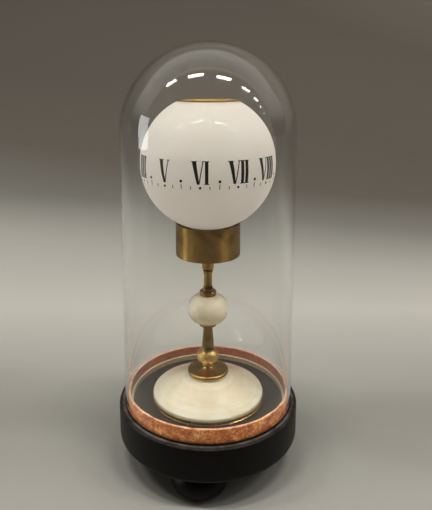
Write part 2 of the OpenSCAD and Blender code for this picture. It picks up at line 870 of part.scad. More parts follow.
// Holes that both plates have
module plate_holes(arbor_hole_r) {
    for (place = [third_at, fourth_at, escape_at, balance_at])
        put(place, -cut)
            cylinder(r = pivot_r + run_fit, h = plate_t + 2 * cut);
    put(barrel_at, -cut)
        cylinder(r = winding_r + run_fit, h = plate_t + 2 * cut);
    put([0, 0], -cut)
        cylinder(r = arbor_hole_r, h = plate_t + 2 * cut);
    for (a = pillar_turns)
        put(polar(pillar_reach, a), -cut)
            cylinder(r = screw_r + set_fit, h = plate_t + 2 * cut);
}

// Lower plate
module lower_plate() {
    color("#b9964f")
    put([0, 0], lower_plate_z)
        difference() {
            cylinder(r = plate_r, h = plate_t);
            plate_holes(pivot_r + run_fit);
            for (place = [lever_at, cock_at])
                put(place, -cut)
                    cylinder(r = pivot_r + run_fit, h = plate_t + 2 * cut);
            for (a = post_turns)
                put(polar(post_reach, a), -cut)
                    cylinder(r = screw_r + set_fit, h = plate_t + 2 * cut);
            put(barrel_at + click_place(), -cut)
                cylinder(r = click_screw_r + set_fit, h = plate_t + 2 * cut);
        }
}

// Upper plate with the riveted post of the minute wheel
module upper_plate() {
    color("#b9964f") {
        put([0, 0], upper_plate_z)
            difference() {
                cylinder(r = plate_r, h = plate_t);
                plate_holes(centre_r + run_fit);
                put(stud_place(), -cut)
                    cylinder(r = stud_r + set_fit, h = plate_t + 2 * cut);
            }
        put(minute_at, upper_plate_z + plate_t / 2)
            cylinder(r = minute_post_r, h = minute_post_z - upper_plate_z - plate_t / 2);
    }
}

// Four pillars between the plates, drilled for their screws
module plate_pillars() {
    color("#b9964f")
    for (a = pillar_turns)
        put(polar(pillar_reach, a), train_z)
            ring(pillar_r, screw_r + set_fit, pillar_h);
}

// Screws at both ends of the pillars
module pillar_screws() {
    shank_h = plate_t + pillar_h / 3;
    color("#4a4f66")
    for (a = pillar_turns) {
        put(polar(pillar_reach, a), motion_z)
            screw(shank_h);
        put(polar(pillar_reach, a), lower_plate_z)
            mirror([0, 0, 1])
                screw(shank_h);
    }
}

// Ring on the upper plate that the table turns on
module table_bearing() {
    color("#b08d4a")
    put([0, 0], motion_z)
        ring(bearing_r, bearing_r - bearing_w, bearing_h);
}

// Going barrel: a toothed cup
module barrel() {
    color("#b9964f")
    put(barrel_at, barrel_z)
        difference() {
            union() {
                pinion(barrel_teeth, barrel_m, barrel_tooth_h, 1);
                cylinder(r = barrel_body_r, h = barrel_h);
            }
            translate([0, 0, barrel_floor_t])
                cylinder(r = barrel_in_r, h = barrel_h);
            translate([0, 0, -cut])
                cylinder(r = winding_r + run_fit, h = barrel_h);
        }
}

// Cover of the barrel
module barrel_cover() {
    color("#c3a05a")
    put(barrel_at, barrel_z + barrel_h)
        ring(barrel_body_r, winding_r + run_fit, barrel_cover_t);
}

// Mainspring, wound round the arbor's hub
module mainspring() {
    spring_h = barrel_h - barrel_floor_t - 4 * end_shake;
    color("#4a4f66")
    put(barrel_at, barrel_z + barrel_floor_t + 2 * end_shake)
        linear_extrude(spring_h)
            polygon(spiral(winding_hub_r + mainspring_gap, barrel_in_r - mainspring_gap - mainspring_t,
                mainspring_turns, mainspring_t, 0));
}

// Barrel arbor with its hub and winding square
module winding_arbor() {
    hub_z = barrel_z + barrel_floor_t + end_shake;
    square_z = drum_z - square_reach;
    color("#6b6b70") {
        put(barrel_at, hub_z)
            cylinder(r = winding_hub_r, h = barrel_h - barrel_floor_t - 2 * end_shake);
        put(barrel_at, ratchet_z + ratchet_t)
            cylinder(r = winding_r, h = motion_z - ratchet_z - ratchet_t);
        put(barrel_at, square_z)
            translate([-square_w / 2, -square_w / 2, 0])
                cube([square_w, square_w, ratchet_z + ratchet_t - square_z]);
    }
}

// Outline of the ratchet, whose straight faces look clockwise
function ratchet_outline() =
    [for (k = [0:ratchet_teeth - 1], tip = [0, 1])
        polar(tip == 1 ? ratchet_r : ratchet_r - ratchet_depth, k * 360 / ratchet_teeth)];

// Ratchet wheel on the arbor's square
module ratchet_wheel() {
    hole_w = square_w + 2 * set_fit;
    color("#6b6b70")
    put(barrel_at, ratchet_z)
        rotate(click_turn)
            linear_extrude(ratchet_t)
                difference() {
                    polygon(ratchet_outline());
                    rotate(-click_turn)
                        square([hole_w, hole_w], center = true);
                }
}

// Place of the click's screw from the ratchet's axis
function click_place() =
    polar(norm(click_pivot), click_turn + atan2(click_pivot[1], click_pivot[0]));

// Click that drops into the ratchet
module click() {
    root = ratchet_r - ratchet_depth;
    color("#6b6b70")
    put(barrel_at, ratchet_z)
        rotate(click_turn)
            linear_extrude(ratchet_t)
                difference() {
                    union() {
                        polygon([
                            [root + click_nose_in, -click_nose_in],
                            [ratchet_r + 3 * click_nose_in, -ratchet_depth * 2],
                            click_pivot - [click_boss_r - click_nose_in, 0],
                            click_pivot + [click_boss_r - click_nose_in, 0],
                            click_back
                        ]);
                        translate(click_pivot)
                            circle(r = click_boss_r);
                    }
                    translate(click_pivot)
                        circle(r = click_screw_r + run_fit);
                }
}

// Shouldered screw that the click turns on
module click_screw() {
    color("#4a4f66")
    put(barrel_at + click_place(), ratchet_z - head_h - end_shake) {
        cylinder(r = click_boss_r, h = head_h);
        cylinder(r = click_screw_r, h = lower_plate_z + plate_t - ratchet_z + head_h);
    }
}

// Strip spring that presses on the click's back, and the stud that holds it
module click_spring() {
    color("#4a4f66")
    put(barrel_at, ratchet_z)
        rotate(click_turn)
            translate([click_back[0] + click_nose_in, -ratchet_depth, 0]) {
                cube([click_spring_t, click_spring_h, ratchet_t / 2]);
                translate([click_spring_t / 2, click_spring_h, 0])
                    cylinder(r = 2 * click_spring_t, h = lower_plate_z - ratchet_z);
            }
}

// Centre wheel
module centre_wheel() {
    color("#c3a05a")
    put([0, 0], centre_wheel_z)
        crossed_wheel(centre_teeth, centre_m, wheel_t, 2 * centre_r, centre_r + set_fit, 1);
}

// Centre arbor with its pinion, long enough for the cannon pinion
module centre_arbor() {
    color("#6b6b70") {
        put([0, 0], train_z + end_shake)
            cylinder(r = centre_r, h = table_z + table_t / 2 - train_z - end_shake);
        put([0, 0], lower_plate_z)
            cylinder(r = pivot_r, h = plate_t + 2 * end_shake);
        put([0, 0], barrel_z - end_shake)
            rotate(centre_phase)
                pinion(centre_leaves, barrel_m, barrel_tooth_h + 2 * end_shake, 2);
    }
}

// Third wheel
module third_wheel() {
    color("#c3a05a")
    put(third_at, third_wheel_z)
        crossed_wheel(third_teeth, third_m, wheel_t, 3 * arbor_r, arbor_r + set_fit, 1);
}

// Third arbor with its pinion
module third_arbor() {
    color("#6b6b70")
    put(third_at, 0) {
        pivoted_arbor(arbor_r);
        put([0, 0], centre_wheel_z - pinion_over)
            rotate(third_phase)
                pinion(third_leaves, centre_m, wheel_t + 2 * pinion_over, 2);
    }
}

// Fourth wheel
module fourth_wheel() {
    color("#c3a05a")
    put(fourth_at, fourth_wheel_z)
        crossed_wheel(fourth_teeth, fourth_m, wheel_t, 3 * arbor_r, arbor_r + set_fit, 1);
}

// Fourth arbor with its pinion
module fourth_arbor() {
    color("#6b6b70")
    put(fourth_at, 0) {
        pivoted_arbor(arbor_r);
        put([0, 0], third_wheel_z - pinion_over)
            rotate(fourth_phase)
                pinion(fourth_leaves, third_m, wheel_t + 2 * pinion_over, 2);
    }
}

// Outline of the escape wheel, whose straight faces lead
function escape_outline() =
    let (root_r = escape_r - escape_tooth_depth)
    [for (k = [0:escape_teeth - 1], p = [3:-1:0])
        let (lead = escape_lock - k * 360 / escape_teeth)
        p == 3 ? polar(root_r, lead)
            : p == 2 ? polar(escape_r, lead)
            : p == 1 ? polar(escape_r, lead - escape_tip_turn)
            : polar(root_r, lead - escape_root_turn)];

// Escape wheel, locked on the lever's exit pin
module escape_wheel() {
    rim_in_r = escape_r - escape_tooth_depth - escape_rim;
    color("#c3a05a")
    put(escape_at, escape_wheel_z)
        linear_extrude(wheel_t)
            difference() {
                polygon(escape_outline());
                difference() {
                    circle(r = rim_in_r);
                    circle(r = escape_hub_r);
                    for (a = [0, 90])
                        rotate(a)
                            square([2 * escape_r, escape_arm_w], center = true);
                }
                circle(r = arbor_r + set_fit);
            }
}

// Escape arbor with its pinion
module escape_arbor() {
    color("#6b6b70")
    put(escape_at, 0) {
        pivoted_arbor(arbor_r);
        put([0, 0], fourth_wheel_z - pinion_over)
            rotate(escape_phase)
                pinion(escape_leaves, fourth_m, wheel_t + 2 * pinion_over, 2);
    }
}

// Lever with a fork at one end and two pins over the escape wheel, banked to one side
module pallet_lever() {
    entry = polar(pin_circle_r, -pin_turn) - [escape_r / cos(pin_turn), 0];
    exit = polar(pin_circle_r, pin_turn) - [escape_r / cos(pin_turn), 0];
    prong_w = fork_slot_w + 2 * fork_prong;
    color("#6b6b70")
    put(lever_at, 0)
        rotate(lever_turn + lever_bank) {
            put([0, 0], lever_z)
                linear_extrude(lever_t)
                    difference() {
                        union() {
                            circle(r = lever_boss_r);
                            for (pin = [entry, exit]) {
                                rotate(atan2(pin[1], pin[0]))
                                    translate([0, -lever_arm_w / 2])
                                        square([norm(pin), lever_arm_w]);
                                translate(pin)
                                    circle(r = pin_boss_r);
                            }
                            translate([0, -lever_arm_w / 2])
                                square([fork_slot_r, lever_arm_w]);
                            translate([fork_slot_r - fork_prong, -prong_w / 2])
                                square([fork_tip_r - fork_slot_r + fork_prong, prong_w]);
                        }
                        translate([fork_slot_r, -fork_slot_w / 2])
                            square([fork_r, fork_slot_w]);
                    }
            for (pin = [entry, exit])
                put(pin, escape_wheel_z - pinion_over)
                    cylinder(r = pin_r, h = lever_z + lever_t - escape_wheel_z + pinion_over);
            put([0, 0], train_z + end_shake)
                cylinder(r = arbor_r, h = cock_z - train_z - 2 * end_shake);
            put([0, 0], lower_plate_z)
                cylinder(r = pivot_r, h = cock_z + cock_t - lower_plate_z);
        }
}

// Cock that holds the upper pivot of the lever under the balance
module pallet_cock() {
    cock_w = 4 * arbor_r;
    color("#b9964f") {
        put(cock_at, lower_plate_z)
            cylinder(r = pivot_r, h = plate_t);
        put(cock_at, train_z)
            cylinder(r = cock_w / 2, h = cock_z + cock_t - train_z);
        put(lever_at, cock_z)
            rotate(lever_turn + 90)
                linear_extrude(cock_t)
                    difference() {
                        union() {
                            circle(r = cock_w / 2);
                            translate([0, -cock_w / 2])
                                square([cock_reach, cock_w]);
                        }
                        circle(r = pivot_r + run_fit);
                    }
    }
}

// Balance wheel: a rim on three arms
module balance_wheel() {
    color("#c8a860")
    put(balance_at, balance_z)
        linear_extrude(balance_t)
            difference() {
                union() {
                    difference() {
                        circle(r = balance_r);
                        circle(r = balance_r - balance_rim);
                    }
                    circle(r = 2 * collet_r);
                    for (k = [0:balance_arms - 1])
                        rotate(360 * k / balance_arms)
                            translate([0, -balance_arm_w / 2])
                                square([balance_r - balance_rim / 2, balance_arm_w]);
                }
                circle(r = staff_r + set_fit);
            }
}

// Balance staff with its roller, impulse pin and collet
module balance_staff() {
    color("#6b6b70")
    put(balance_at, 0) {
        pivoted_arbor(staff_r);
        put([0, 0], roller_z)
            cylinder(r = roller_r, h = roller_t);
        put(polar(impulse_r, lever_turn + 180), lever_z - pinion_over)
            cylinder(r = pin_r, h = roller_z - lever_z + pinion_over + roller_t / 2);
        put([0, 0], hairspring_z)
            cylinder(r = collet_r, h = hairspring_w);
    }
}

// Hairspring from the collet to the stud
module hairspring() {
    color("#4a4f66")
    put(balance_at, hairspring_z)
        linear_extrude(hairspring_w)
            polygon(spiral(collet_r + set_fit, hairspring_r, hairspring_turns, hairspring_t, lever_turn));
}

// Place of the stud at the outer end of the hairspring
function stud_place() =
    balance_at + polar(hairspring_r + hairspring_t + set_fit + stud_r, lever_turn);

// Stud in the upper plate that holds the hairspring's outer end
module hairspring_stud() {
    color("#6b6b70")
    put(stud_place(), hairspring_z)
        cylinder(r = stud_r, h = motion_z - hairspring_z);
}

// Cannon pinion, a friction fit on the centre arbor
module cannon_pinion() {
    color("#6b6b70")
    difference() {
        union() {
            put([0, 0], cannon_z)
                cylinder(r = cannon_r, h = table_z + table_t / 2 - cannon_z);
            put([0, 0], minute_wheel_z)
                pinion(cannon_leaves, motion_m, motion_t, 4);
        }
        put([0, 0], cannon_z - cut)
            cylinder(r = centre_r + set_fit, h = table_top_z - cannon_z + cut);
    }
}

// Minute wheel with its pinion
module minute_wheel() {
    color("#c3a05a")
    put(minute_at, 0)
        difference() {
            union() {
                put([0, 0], minute_wheel_z)
                    rotate(minute_phase)
                        crossed_wheel(minute_teeth, motion_m, motion_t,
                            pitch_r(minute_leaves + 2, motion_m), minute_post_r, 4);
                put([0, 0], minute_wheel_z)
                    pinion(minute_leaves, motion_m, minute_top_z - minute_wheel_z, 4);
            }
            put([0, 0], motion_z)
                cylinder(r = minute_post_r + run_fit, h = table_z - motion_z);
        }
}

// Hour wheel with the pipe that drives the table
module hour_wheel() {
    color("#c3a05a")
    difference() {
        union() {
            put([0, 0], hour_wheel_z)
                rotate(hour_phase)
                    crossed_wheel(hour_teeth, motion_m, motion_t, 1.5 * hour_pipe_r, cannon_r, 4);
            put([0, 0], hour_wheel_z)
                cylinder(r = hour_pipe_r, h = table_top_z - hour_wheel_z);
        }
        put([0, 0], hour_wheel_z - cut)
            cylinder(r = cannon_r + run_fit, h = table_top_z - hour_wheel_z + 2 * cut);
    }
}

// Table with a seat and a tube for the globe
module globe_table() {
    color("#8c6f3c")
    difference() {
        union() {
            put([0, 0], table_z)
                cylinder(r = table_r, h = table_t);
            put([0, 0], table_top_z - table_t / 2)
                ring(globe_seat_r, tube_r - tube_wall, clamp_z - table_top_z);
            put([0, 0], table_top_z - table_t / 2)
                ring(tube_r, tube_r - tube_wall, tube_top_z - table_top_z + table_t / 2);
        }
        put([0, 0], table_z - cut)
            cylinder(r = hour_pipe_r + set_fit, h = table_t + 2 * cut);
        difference() {
            put([0, 0], globe_z)
                sphere(r = globe_r + glass_gap);
            put([0, 0], table_z)
                cylinder(r = tube_r, h = globe_r);
        }
    }
}

// Opaline glass globe, open at the top and bottom
module globe() {
    color("#efe8de")
    difference() {
        put([0, 0], globe_z)
            sphere(r = globe_r);
        put([0, 0], globe_z)
            sphere(r = globe_in_r);
        put([0, 0], globe_z)
            cylinder(r = globe_mouth_r, h = globe_r + cut);
        put([0, 0], globe_z - globe_r - cut)
            cylinder(r = globe_hole_r, h = globe_r);
    }
}

// Brass rim of the top opening
module globe_rim() {
    sleeve_r = globe_mouth_r - glass_gap;
    color("#b8934c")
    put([0, 0], mouth_z)
        turned([
            [sleeve_r - rim_t, -rim_sleeve_h], [sleeve_r, -rim_sleeve_h], [sleeve_r, glass_gap],
            [sleeve_r + rim_w - rim_t, glass_gap], [sleeve_r + rim_w - rim_t, glass_gap + rim_t],
            [sleeve_r - rim_t, glass_gap + rim_t]
        ]);
}

// Ring nut that clamps the globe on the tube
module globe_clamp() {
    color("#8c6f3c")
    put([0, 0], clamp_z)
        ring(clamp_r, tube_r + set_fit, clamp_h);
}

// Sheet brass cup of the night light
module lamp_cup() {
    color("#a98648")
    put([0, 0], cup_z)
        difference() {
            cylinder(r = cup_r, h = cup_h);
            translate([0, 0, cup_t])
                cylinder(r = cup_in_r, h = cup_h);
        }
}

// Wax of the night light, with a hole for its wick
module candle() {
    color("#f3ead2")
    put([0, 0], wax_z)
        ring(cup_in_r - rod_gap, wick_r + set_fit, wax_h);
}

// Wick
module wick() {
    color("#d8d0c0")
    put([0, 0], wax_z)
        cylinder(r = wick_r, h = wax_h + wick_h);
}

wood_base();
bun_feet();
seat_ring();
plush_band();
glass_dome();
foot_pan();
onyx_foot();
foot_cap();
lower_column();
onyx_ball();
upper_column();
drum_collar();
tie_rod();
tie_nuts();
drum_case();
movement_posts();
movement_screws();
lower_plate();
upper_plate();
plate_pillars();
pillar_screws();
table_bearing();
barrel();
barrel_cover();
mainspring();
winding_arbor();
ratchet_wheel();
click();
click_screw();
click_spring();
centre_wheel();
centre_arbor();
third_wheel();
third_arbor();
fourth_wheel();
fourth_arbor();
escape_wheel();
escape_arbor();
pallet_lever();
pallet_cock();
balance_wheel();
balance_staff();
hairspring();
hairspring_stud();
cannon_pinion();
minute_wheel();
hour_wheel();
globe_table();
globe();
globe_rim();
globe_clamp();
lamp_cup();
candle();
wick();
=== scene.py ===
import json
import math
import random

import bmesh
import bpy
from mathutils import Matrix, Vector, noise


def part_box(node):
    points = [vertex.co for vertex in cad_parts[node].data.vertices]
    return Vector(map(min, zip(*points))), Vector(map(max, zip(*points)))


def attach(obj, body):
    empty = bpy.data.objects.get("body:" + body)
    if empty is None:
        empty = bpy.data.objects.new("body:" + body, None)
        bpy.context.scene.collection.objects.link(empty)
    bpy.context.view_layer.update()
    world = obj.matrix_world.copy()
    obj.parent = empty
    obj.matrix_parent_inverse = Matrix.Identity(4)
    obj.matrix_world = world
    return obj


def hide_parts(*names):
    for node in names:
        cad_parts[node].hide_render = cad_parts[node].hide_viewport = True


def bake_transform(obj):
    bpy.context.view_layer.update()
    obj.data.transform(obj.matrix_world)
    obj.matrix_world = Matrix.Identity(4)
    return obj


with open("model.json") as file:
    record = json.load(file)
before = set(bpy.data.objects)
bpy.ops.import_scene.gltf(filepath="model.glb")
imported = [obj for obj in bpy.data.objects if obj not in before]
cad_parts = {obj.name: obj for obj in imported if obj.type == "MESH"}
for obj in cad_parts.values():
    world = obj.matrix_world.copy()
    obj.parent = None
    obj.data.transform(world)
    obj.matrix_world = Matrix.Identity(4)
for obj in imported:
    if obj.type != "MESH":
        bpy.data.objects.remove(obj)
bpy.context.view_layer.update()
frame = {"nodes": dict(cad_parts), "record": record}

MM = 0.001
random.seed(7)
scene = bpy.context.scene
scene.view_settings.view_transform = "Standard"


# Nodes of a material

# The colour sockets of a Mix node
MIX_A, MIX_B, MIX_OUT = 6, 7, 2


def fill_ramp(node, stops):
    """Sets the stops of a colour ramp, each a place from 0 to 1 and a colour."""
    band = node.color_ramp
    while len(band.elements) < len(stops):
        band.elements.new(1.0)
    for element, (at, colour) in zip(band.elements, stops):
        element.position = at
        element.color = (*colour, 1.0)


class Paint:
    """A material and short ways to add nodes to it."""

    def __init__(self, name):
        self.material = bpy.data.materials.new(name)
        self.material.use_nodes = True
        self.tree = self.material.node_tree
        self.shader = self.tree.nodes["Principled BSDF"]
        self.place = self.add("ShaderNodeTexCoord").outputs["Object"]

    def feed(self, socket, value):
        """Links a node's output to a socket, or sets a plain value on it."""
        if isinstance(value, bpy.types.NodeSocket):
            self.tree.links.new(value, socket)
        else:
            socket.default_value = value

    def add(self, kind, sockets=None, **settings):
        made = self.tree.nodes.new(kind)
        for name, value in settings.items():
            setattr(made, name, value)
        for name, value in (sockets or {}).items():
            self.feed(made.inputs[name], value)
        return made

    def set(self, **sockets):
        for name, value in sockets.items():
            self.feed(self.shader.inputs[name.replace("_", " ")], value)

    def noise(self, scale, detail=3.0, distortion=0.0, stretch=None):
        vector = self.place
        if stretch:
            vector = self.add(
                "ShaderNodeMapping", {"Vector": vector, "Scale": stretch}
            ).outputs["Vector"]
        return self.add(
            "ShaderNodeTexNoise",
            {"Vector": vector, "Scale": scale, "Detail": detail, "Distortion": distortion},
        ).outputs["Fac"]

    def line_noise(self, along, scale, detail=2.0):
        return self.add(
            "ShaderNodeTexNoise",
            {"W": along, "Scale": scale, "Detail": detail},
            noise_dimensions="1D",
        ).outputs["Fac"]

    def ramp(self, factor, *stops):
        made = self.add("ShaderNodeValToRGB", {"Fac": factor})
        fill_ramp(made, stops)
        return made.outputs["Color"]

    def span(self, value, low, high, to_low, to_high):
        ends = {"From Min": low, "From Max": high, "To Min": to_low, "To Max": to_high}
        return self.add("ShaderNodeMapRange", {"Value": value, **ends}).outputs["Result"]

    def rise(self, value, low, high):
        return self.span(value, low, high, 0.0, 1.0)

    def fall(self, value, low, high):
        return self.span(value, low, high, 1.0, 0.0)

    def math(self, operation, a, b=0.0):
        made = self.add("ShaderNodeMath", operation=operation)
        for socket, value in zip(made.inputs, (a, b)):
            self.feed(socket, value)
        return made.outputs["Value"]

    def times(self, a, b):
        return self.math("MULTIPLY", a, b)

    def plus(self, a, b):
        return self.math("ADD", a, b)

    def mixture(self, *parts):
        """The sum of values, each times its share."""
        total = None
        for value, share in parts:
            part = self.times(value, share)
            total = part if total is None else self.plus(total, part)
        return total

    def blend(self, factor, a, b):
        made = self.add("ShaderNodeMix", data_type="RGBA")
        self.feed(made.inputs["Factor"], factor)
        for at, colour in ((MIX_A, a), (MIX_B, b)):
            self.feed(made.inputs[at], (*colour, 1.0) if isinstance(colour, tuple) else colour)
        return made.outputs[MIX_OUT]

    def layers(self, colour, *coats):
        """Lays colours over a first one, each by its share."""
        for share, coat in coats:
            colour = self.blend(share, colour, coat)
        return colour

    def bump(self, height, strength, depth):
        made = self.add(
            "ShaderNodeBump", {"Height": height, "Strength": strength, "Distance": depth}
        )
        self.set(Normal=made.outputs["Normal"])

    def mix_in(self, shader, share):
        """Mixes a share of another shader into the surface."""
        mixed = self.add("ShaderNodeMixShader", {"Fac": share})
        surface = self.tree.nodes["Material Output"].inputs["Surface"]
        self.tree.links.new(surface.links[0].from_socket, mixed.inputs[1])
        self.tree.links.new(shader.outputs["BSDF"], mixed.inputs[2])
        self.tree.links.new(mixed.outputs["Shader"], surface)

    def axis_places(self):
        """x, y, z and the distance from the clock's axis."""
        parts = self.add("ShaderNodeSeparateXYZ", {"Vector": self.place}).outputs
        flat = self.add(
            "ShaderNodeCombineXYZ", {"X": parts["X"], "Y": parts["Y"]}
        ).outputs["Vector"]
        away = self.add("ShaderNodeVectorMath", {"Vector": flat}, operation="LENGTH")
        return parts["X"], parts["Y"], parts["Z"], away.outputs["Value"]


# Materials

BRASS_DULL, BRASS_BRIGHT = (0.31, 0.175, 0.038), (0.64, 0.40, 0.12)
# Brass painted brighter on the rim, as a painted reflection, and on the satin bulb, as a painted
# sheen
BRASS_RIM_REFLECTION, BRASS_SATIN_SHEEN = (0.78, 0.58, 0.28), (0.80, 0.56, 0.21)
# Darker brass for the drum, and dark brass for the shaft
BRASS_DRUM_DARK, BRASS_SHAFT = (0.13, 0.068, 0.012), (0.11, 0.06, 0.012)
BRASS_GROOVE_SHADE, BRASS_STAIN = (0.03, 0.018, 0.006), (0.16, 0.09, 0.022)
# Heights above the column's foot between which the satin bulb, with its painted sheen, turns into
# the dark shaft
SATIN_FADE = (8.0 * MM, 15.0 * MM)
# Radius up to which painted shade darkens the groove under the collar
GROOVE_SHADE_R = (3.7 * MM, 3.9 * MM)
MOVEMENT_DULL, MOVEMENT_BRIGHT = (0.46, 0.31, 0.11), (0.70, 0.51, 0.22)
STEEL_DULL, STEEL_BRIGHT = (0.42, 0.42, 0.43), (0.60, 0.60, 0.60)
BLUE_DULL, BLUE_BRIGHT = (0.035, 0.05, 0.14), (0.07, 0.10, 0.26)
SPECK_SHADE = 0.4

WOOD_DARK, WOOD_GRAIN = (0.003, 0.0024, 0.0018), (0.008, 0.006, 0.0045)
WOOD_DECK, WOOD_DUST_AND_REFLECTION = (0.032, 0.025, 0.019), (0.2, 0.178, 0.162)
WOOD_RUBBED, WOOD_CHIP = (0.12, 0.1, 0.085), (0.3, 0.27, 0.22)

ONYX_DEEP, ONYX_CREAM = (0.65, 0.555, 0.392), (0.72, 0.645, 0.487)
ONYX_PALE, ONYX_BALL_TONE_AND_LIGHT = (0.785, 0.73, 0.605), (1.0, 0.83, 0.64)
# Height above the stone foot at which the ball's paler colour, partly painted light, is reached
ONYX_FADE = 20.0 * MM

OPAL_WARM, OPAL_WHITE = (0.96, 0.945, 0.92), (0.98, 0.97, 0.955)
OPAL_THROUGH = (0.995, 0.972, 0.945, 1.0)
OPAL_THROUGH_SHARE, OPAL_GLOSS_SHARE = 0.84, 0.045
GLASS_TINT, GLASS_SHADOW = (0.985, 0.99, 0.985, 1.0), (0.94, 0.95, 0.94, 1.0)
GLASS_IOR = 1.47

PILE_STOPS = (
    (0.36, (0.22, 0.043, 0.003)),
    (0.44, (0.53, 0.115, 0.008)),
    (0.52, (0.77, 0.205, 0.018)),
    (0.59, (0.9, 0.385, 0.07)),
    (0.68, (0.98, 0.7, 0.36)),
)
PILE_FOOT_SHADE, PILE_EDGE = (0.09, 0.026, 0.01), (0.78, 0.56, 0.40)
BACKING_DARK, BACKING_RED = (0.30, 0.09, 0.037), (0.47, 0.157, 0.07)
CARD_DARK, CARD_TAN, CARD_TOP_HIGHLIGHT = (0.36, 0.255, 0.15), (0.55, 0.41, 0.26), (0.60, 0.48, 0.30)
INK, INK_WORN = (0.004, 0.0035, 0.0035), (0.012, 0.0105, 0.01)
WAX_WARM, WAX_PALE = (0.78, 0.70, 0.55), (0.86, 0.80, 0.68)
COTTON_DARK, COTTON_PALE, CHAR = (0.55, 0.48, 0.36), (0.80, 0.74, 0.62), (0.02, 0.017, 0.015)


def turned_metal(name, dull, bright, rough, line_depth, line_scale):
    """Metal turned on a lathe: lines round the axis, and tarnish in soft patches."""
    paint = Paint(name)
    _, _, z, away = paint.axis_places()
    lines = paint.line_noise(paint.plus(z, away), line_scale)
    patches = paint.noise(scale=90.0, detail=4.0, distortion=0.6)
    specks = paint.noise(scale=900.0, detail=2.0)
    tone = paint.mixture((patches, 0.75), (lines, 0.25))
    colour = paint.ramp(tone, (0.34, dull), (0.62, bright))
    spotted = paint.span(specks, 0.66, 0.74, 0.0, 0.55)
    paint.set(
        Base_Color=paint.blend(spotted, colour, tuple(SPECK_SHADE * c for c in dull)),
        Metallic=1.0,
        Roughness=paint.span(paint.plus(lines, patches), 0.6, 1.4, rough[1], rough[0]),
    )
    paint.bump(lines, 0.5, line_depth)
    return paint.material


def aged_brass():
    """Tarnished brass: the drum brushed round and darker, the bulb satin with a painted sheen, the
    shaft dark, the rim painted bright as a reflection of the ceiling.
    """
    paint = Paint("aged_brass")
    _, _, z, away = paint.axis_places()
    lines = paint.line_noise(paint.plus(z, away), 2600.0)
    patches = paint.noise(scale=60.0, detail=4.0, distortion=0.6)
    stains = paint.noise(scale=420.0, detail=3.0, distortion=0.4)
    rim_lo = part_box("globe_rim")[0]
    drum_lo, drum_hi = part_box("drum_case")
    collar_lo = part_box("drum_collar")[0]
    cap_hi, bulb_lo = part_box("foot_cap")[1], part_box("lower_column")[0]
    ball_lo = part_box("onyx_ball")[0]
    satin_lo, satin_hi = (bulb_lo.z + height for height in SATIN_FADE)
    # The rim is painted brighter: a painted reflection of the bright ceiling.
    rim_reflection = paint.rise(z, rim_lo.z - 1.0 * MM, rim_lo.z)
    brushed = paint.times(
        paint.rise(z, drum_lo.z - 0.2 * MM, drum_lo.z),
        paint.fall(z, drum_hi.z, drum_hi.z + 1.0 * MM),
    )
    # The satin bulb and the top of the cap are rougher, and painted lighter: a painted sheen for
    # their soft reflection.
    satin_and_sheen = paint.times(
        paint.span(z, cap_hi.z - 2.0 * MM, cap_hi.z, 0.3, 1.0),
        paint.fall(z, satin_lo, satin_hi),
    )
    shaft = paint.times(
        paint.span(z, satin_lo, satin_hi, 0.0, 0.6),
        paint.fall(z, ball_lo.z - 2.0 * MM, ball_lo.z),
    )
    # Painted shade in the groove under the collar.
    groove = paint.times(
        paint.span(z, collar_lo.z - 0.6 * MM, collar_lo.z - 0.3 * MM, 0.0, 0.85),
        paint.fall(away, *GROOVE_SHADE_R),
    )
    colour = paint.layers(
        paint.ramp(patches, (0.32, BRASS_DULL), (0.66, BRASS_BRIGHT)),
        (rim_reflection, BRASS_RIM_REFLECTION),
        (paint.times(satin_and_sheen, 0.7), BRASS_SATIN_SHEEN),
        (paint.times(brushed, 0.3), BRASS_DRUM_DARK),
        (shaft, BRASS_SHAFT),
        (groove, BRASS_GROOVE_SHADE),
        (paint.span(stains, 0.62, 0.74, 0.0, 0.5), BRASS_STAIN),
    )
    polish = paint.span(patches, 0.3, 0.7, 0.2, 0.12)
    rough = paint.plus(polish, paint.times(brushed, 0.25))
    tangent = paint.add("ShaderNodeTangent", direction_type="RADIAL", axis="Z")
    paint.set(
        Base_Color=colour,
        Metallic=1.0,
        Roughness=paint.plus(rough, paint.times(satin_and_sheen, 0.28)),
        Anisotropic=brushed,
        Anisotropic_Rotation=0.25,
        Tangent=tangent.outputs["Tangent"],
    )
    paint.bump(lines, 0.15, 0.01 * MM)
    return paint.material


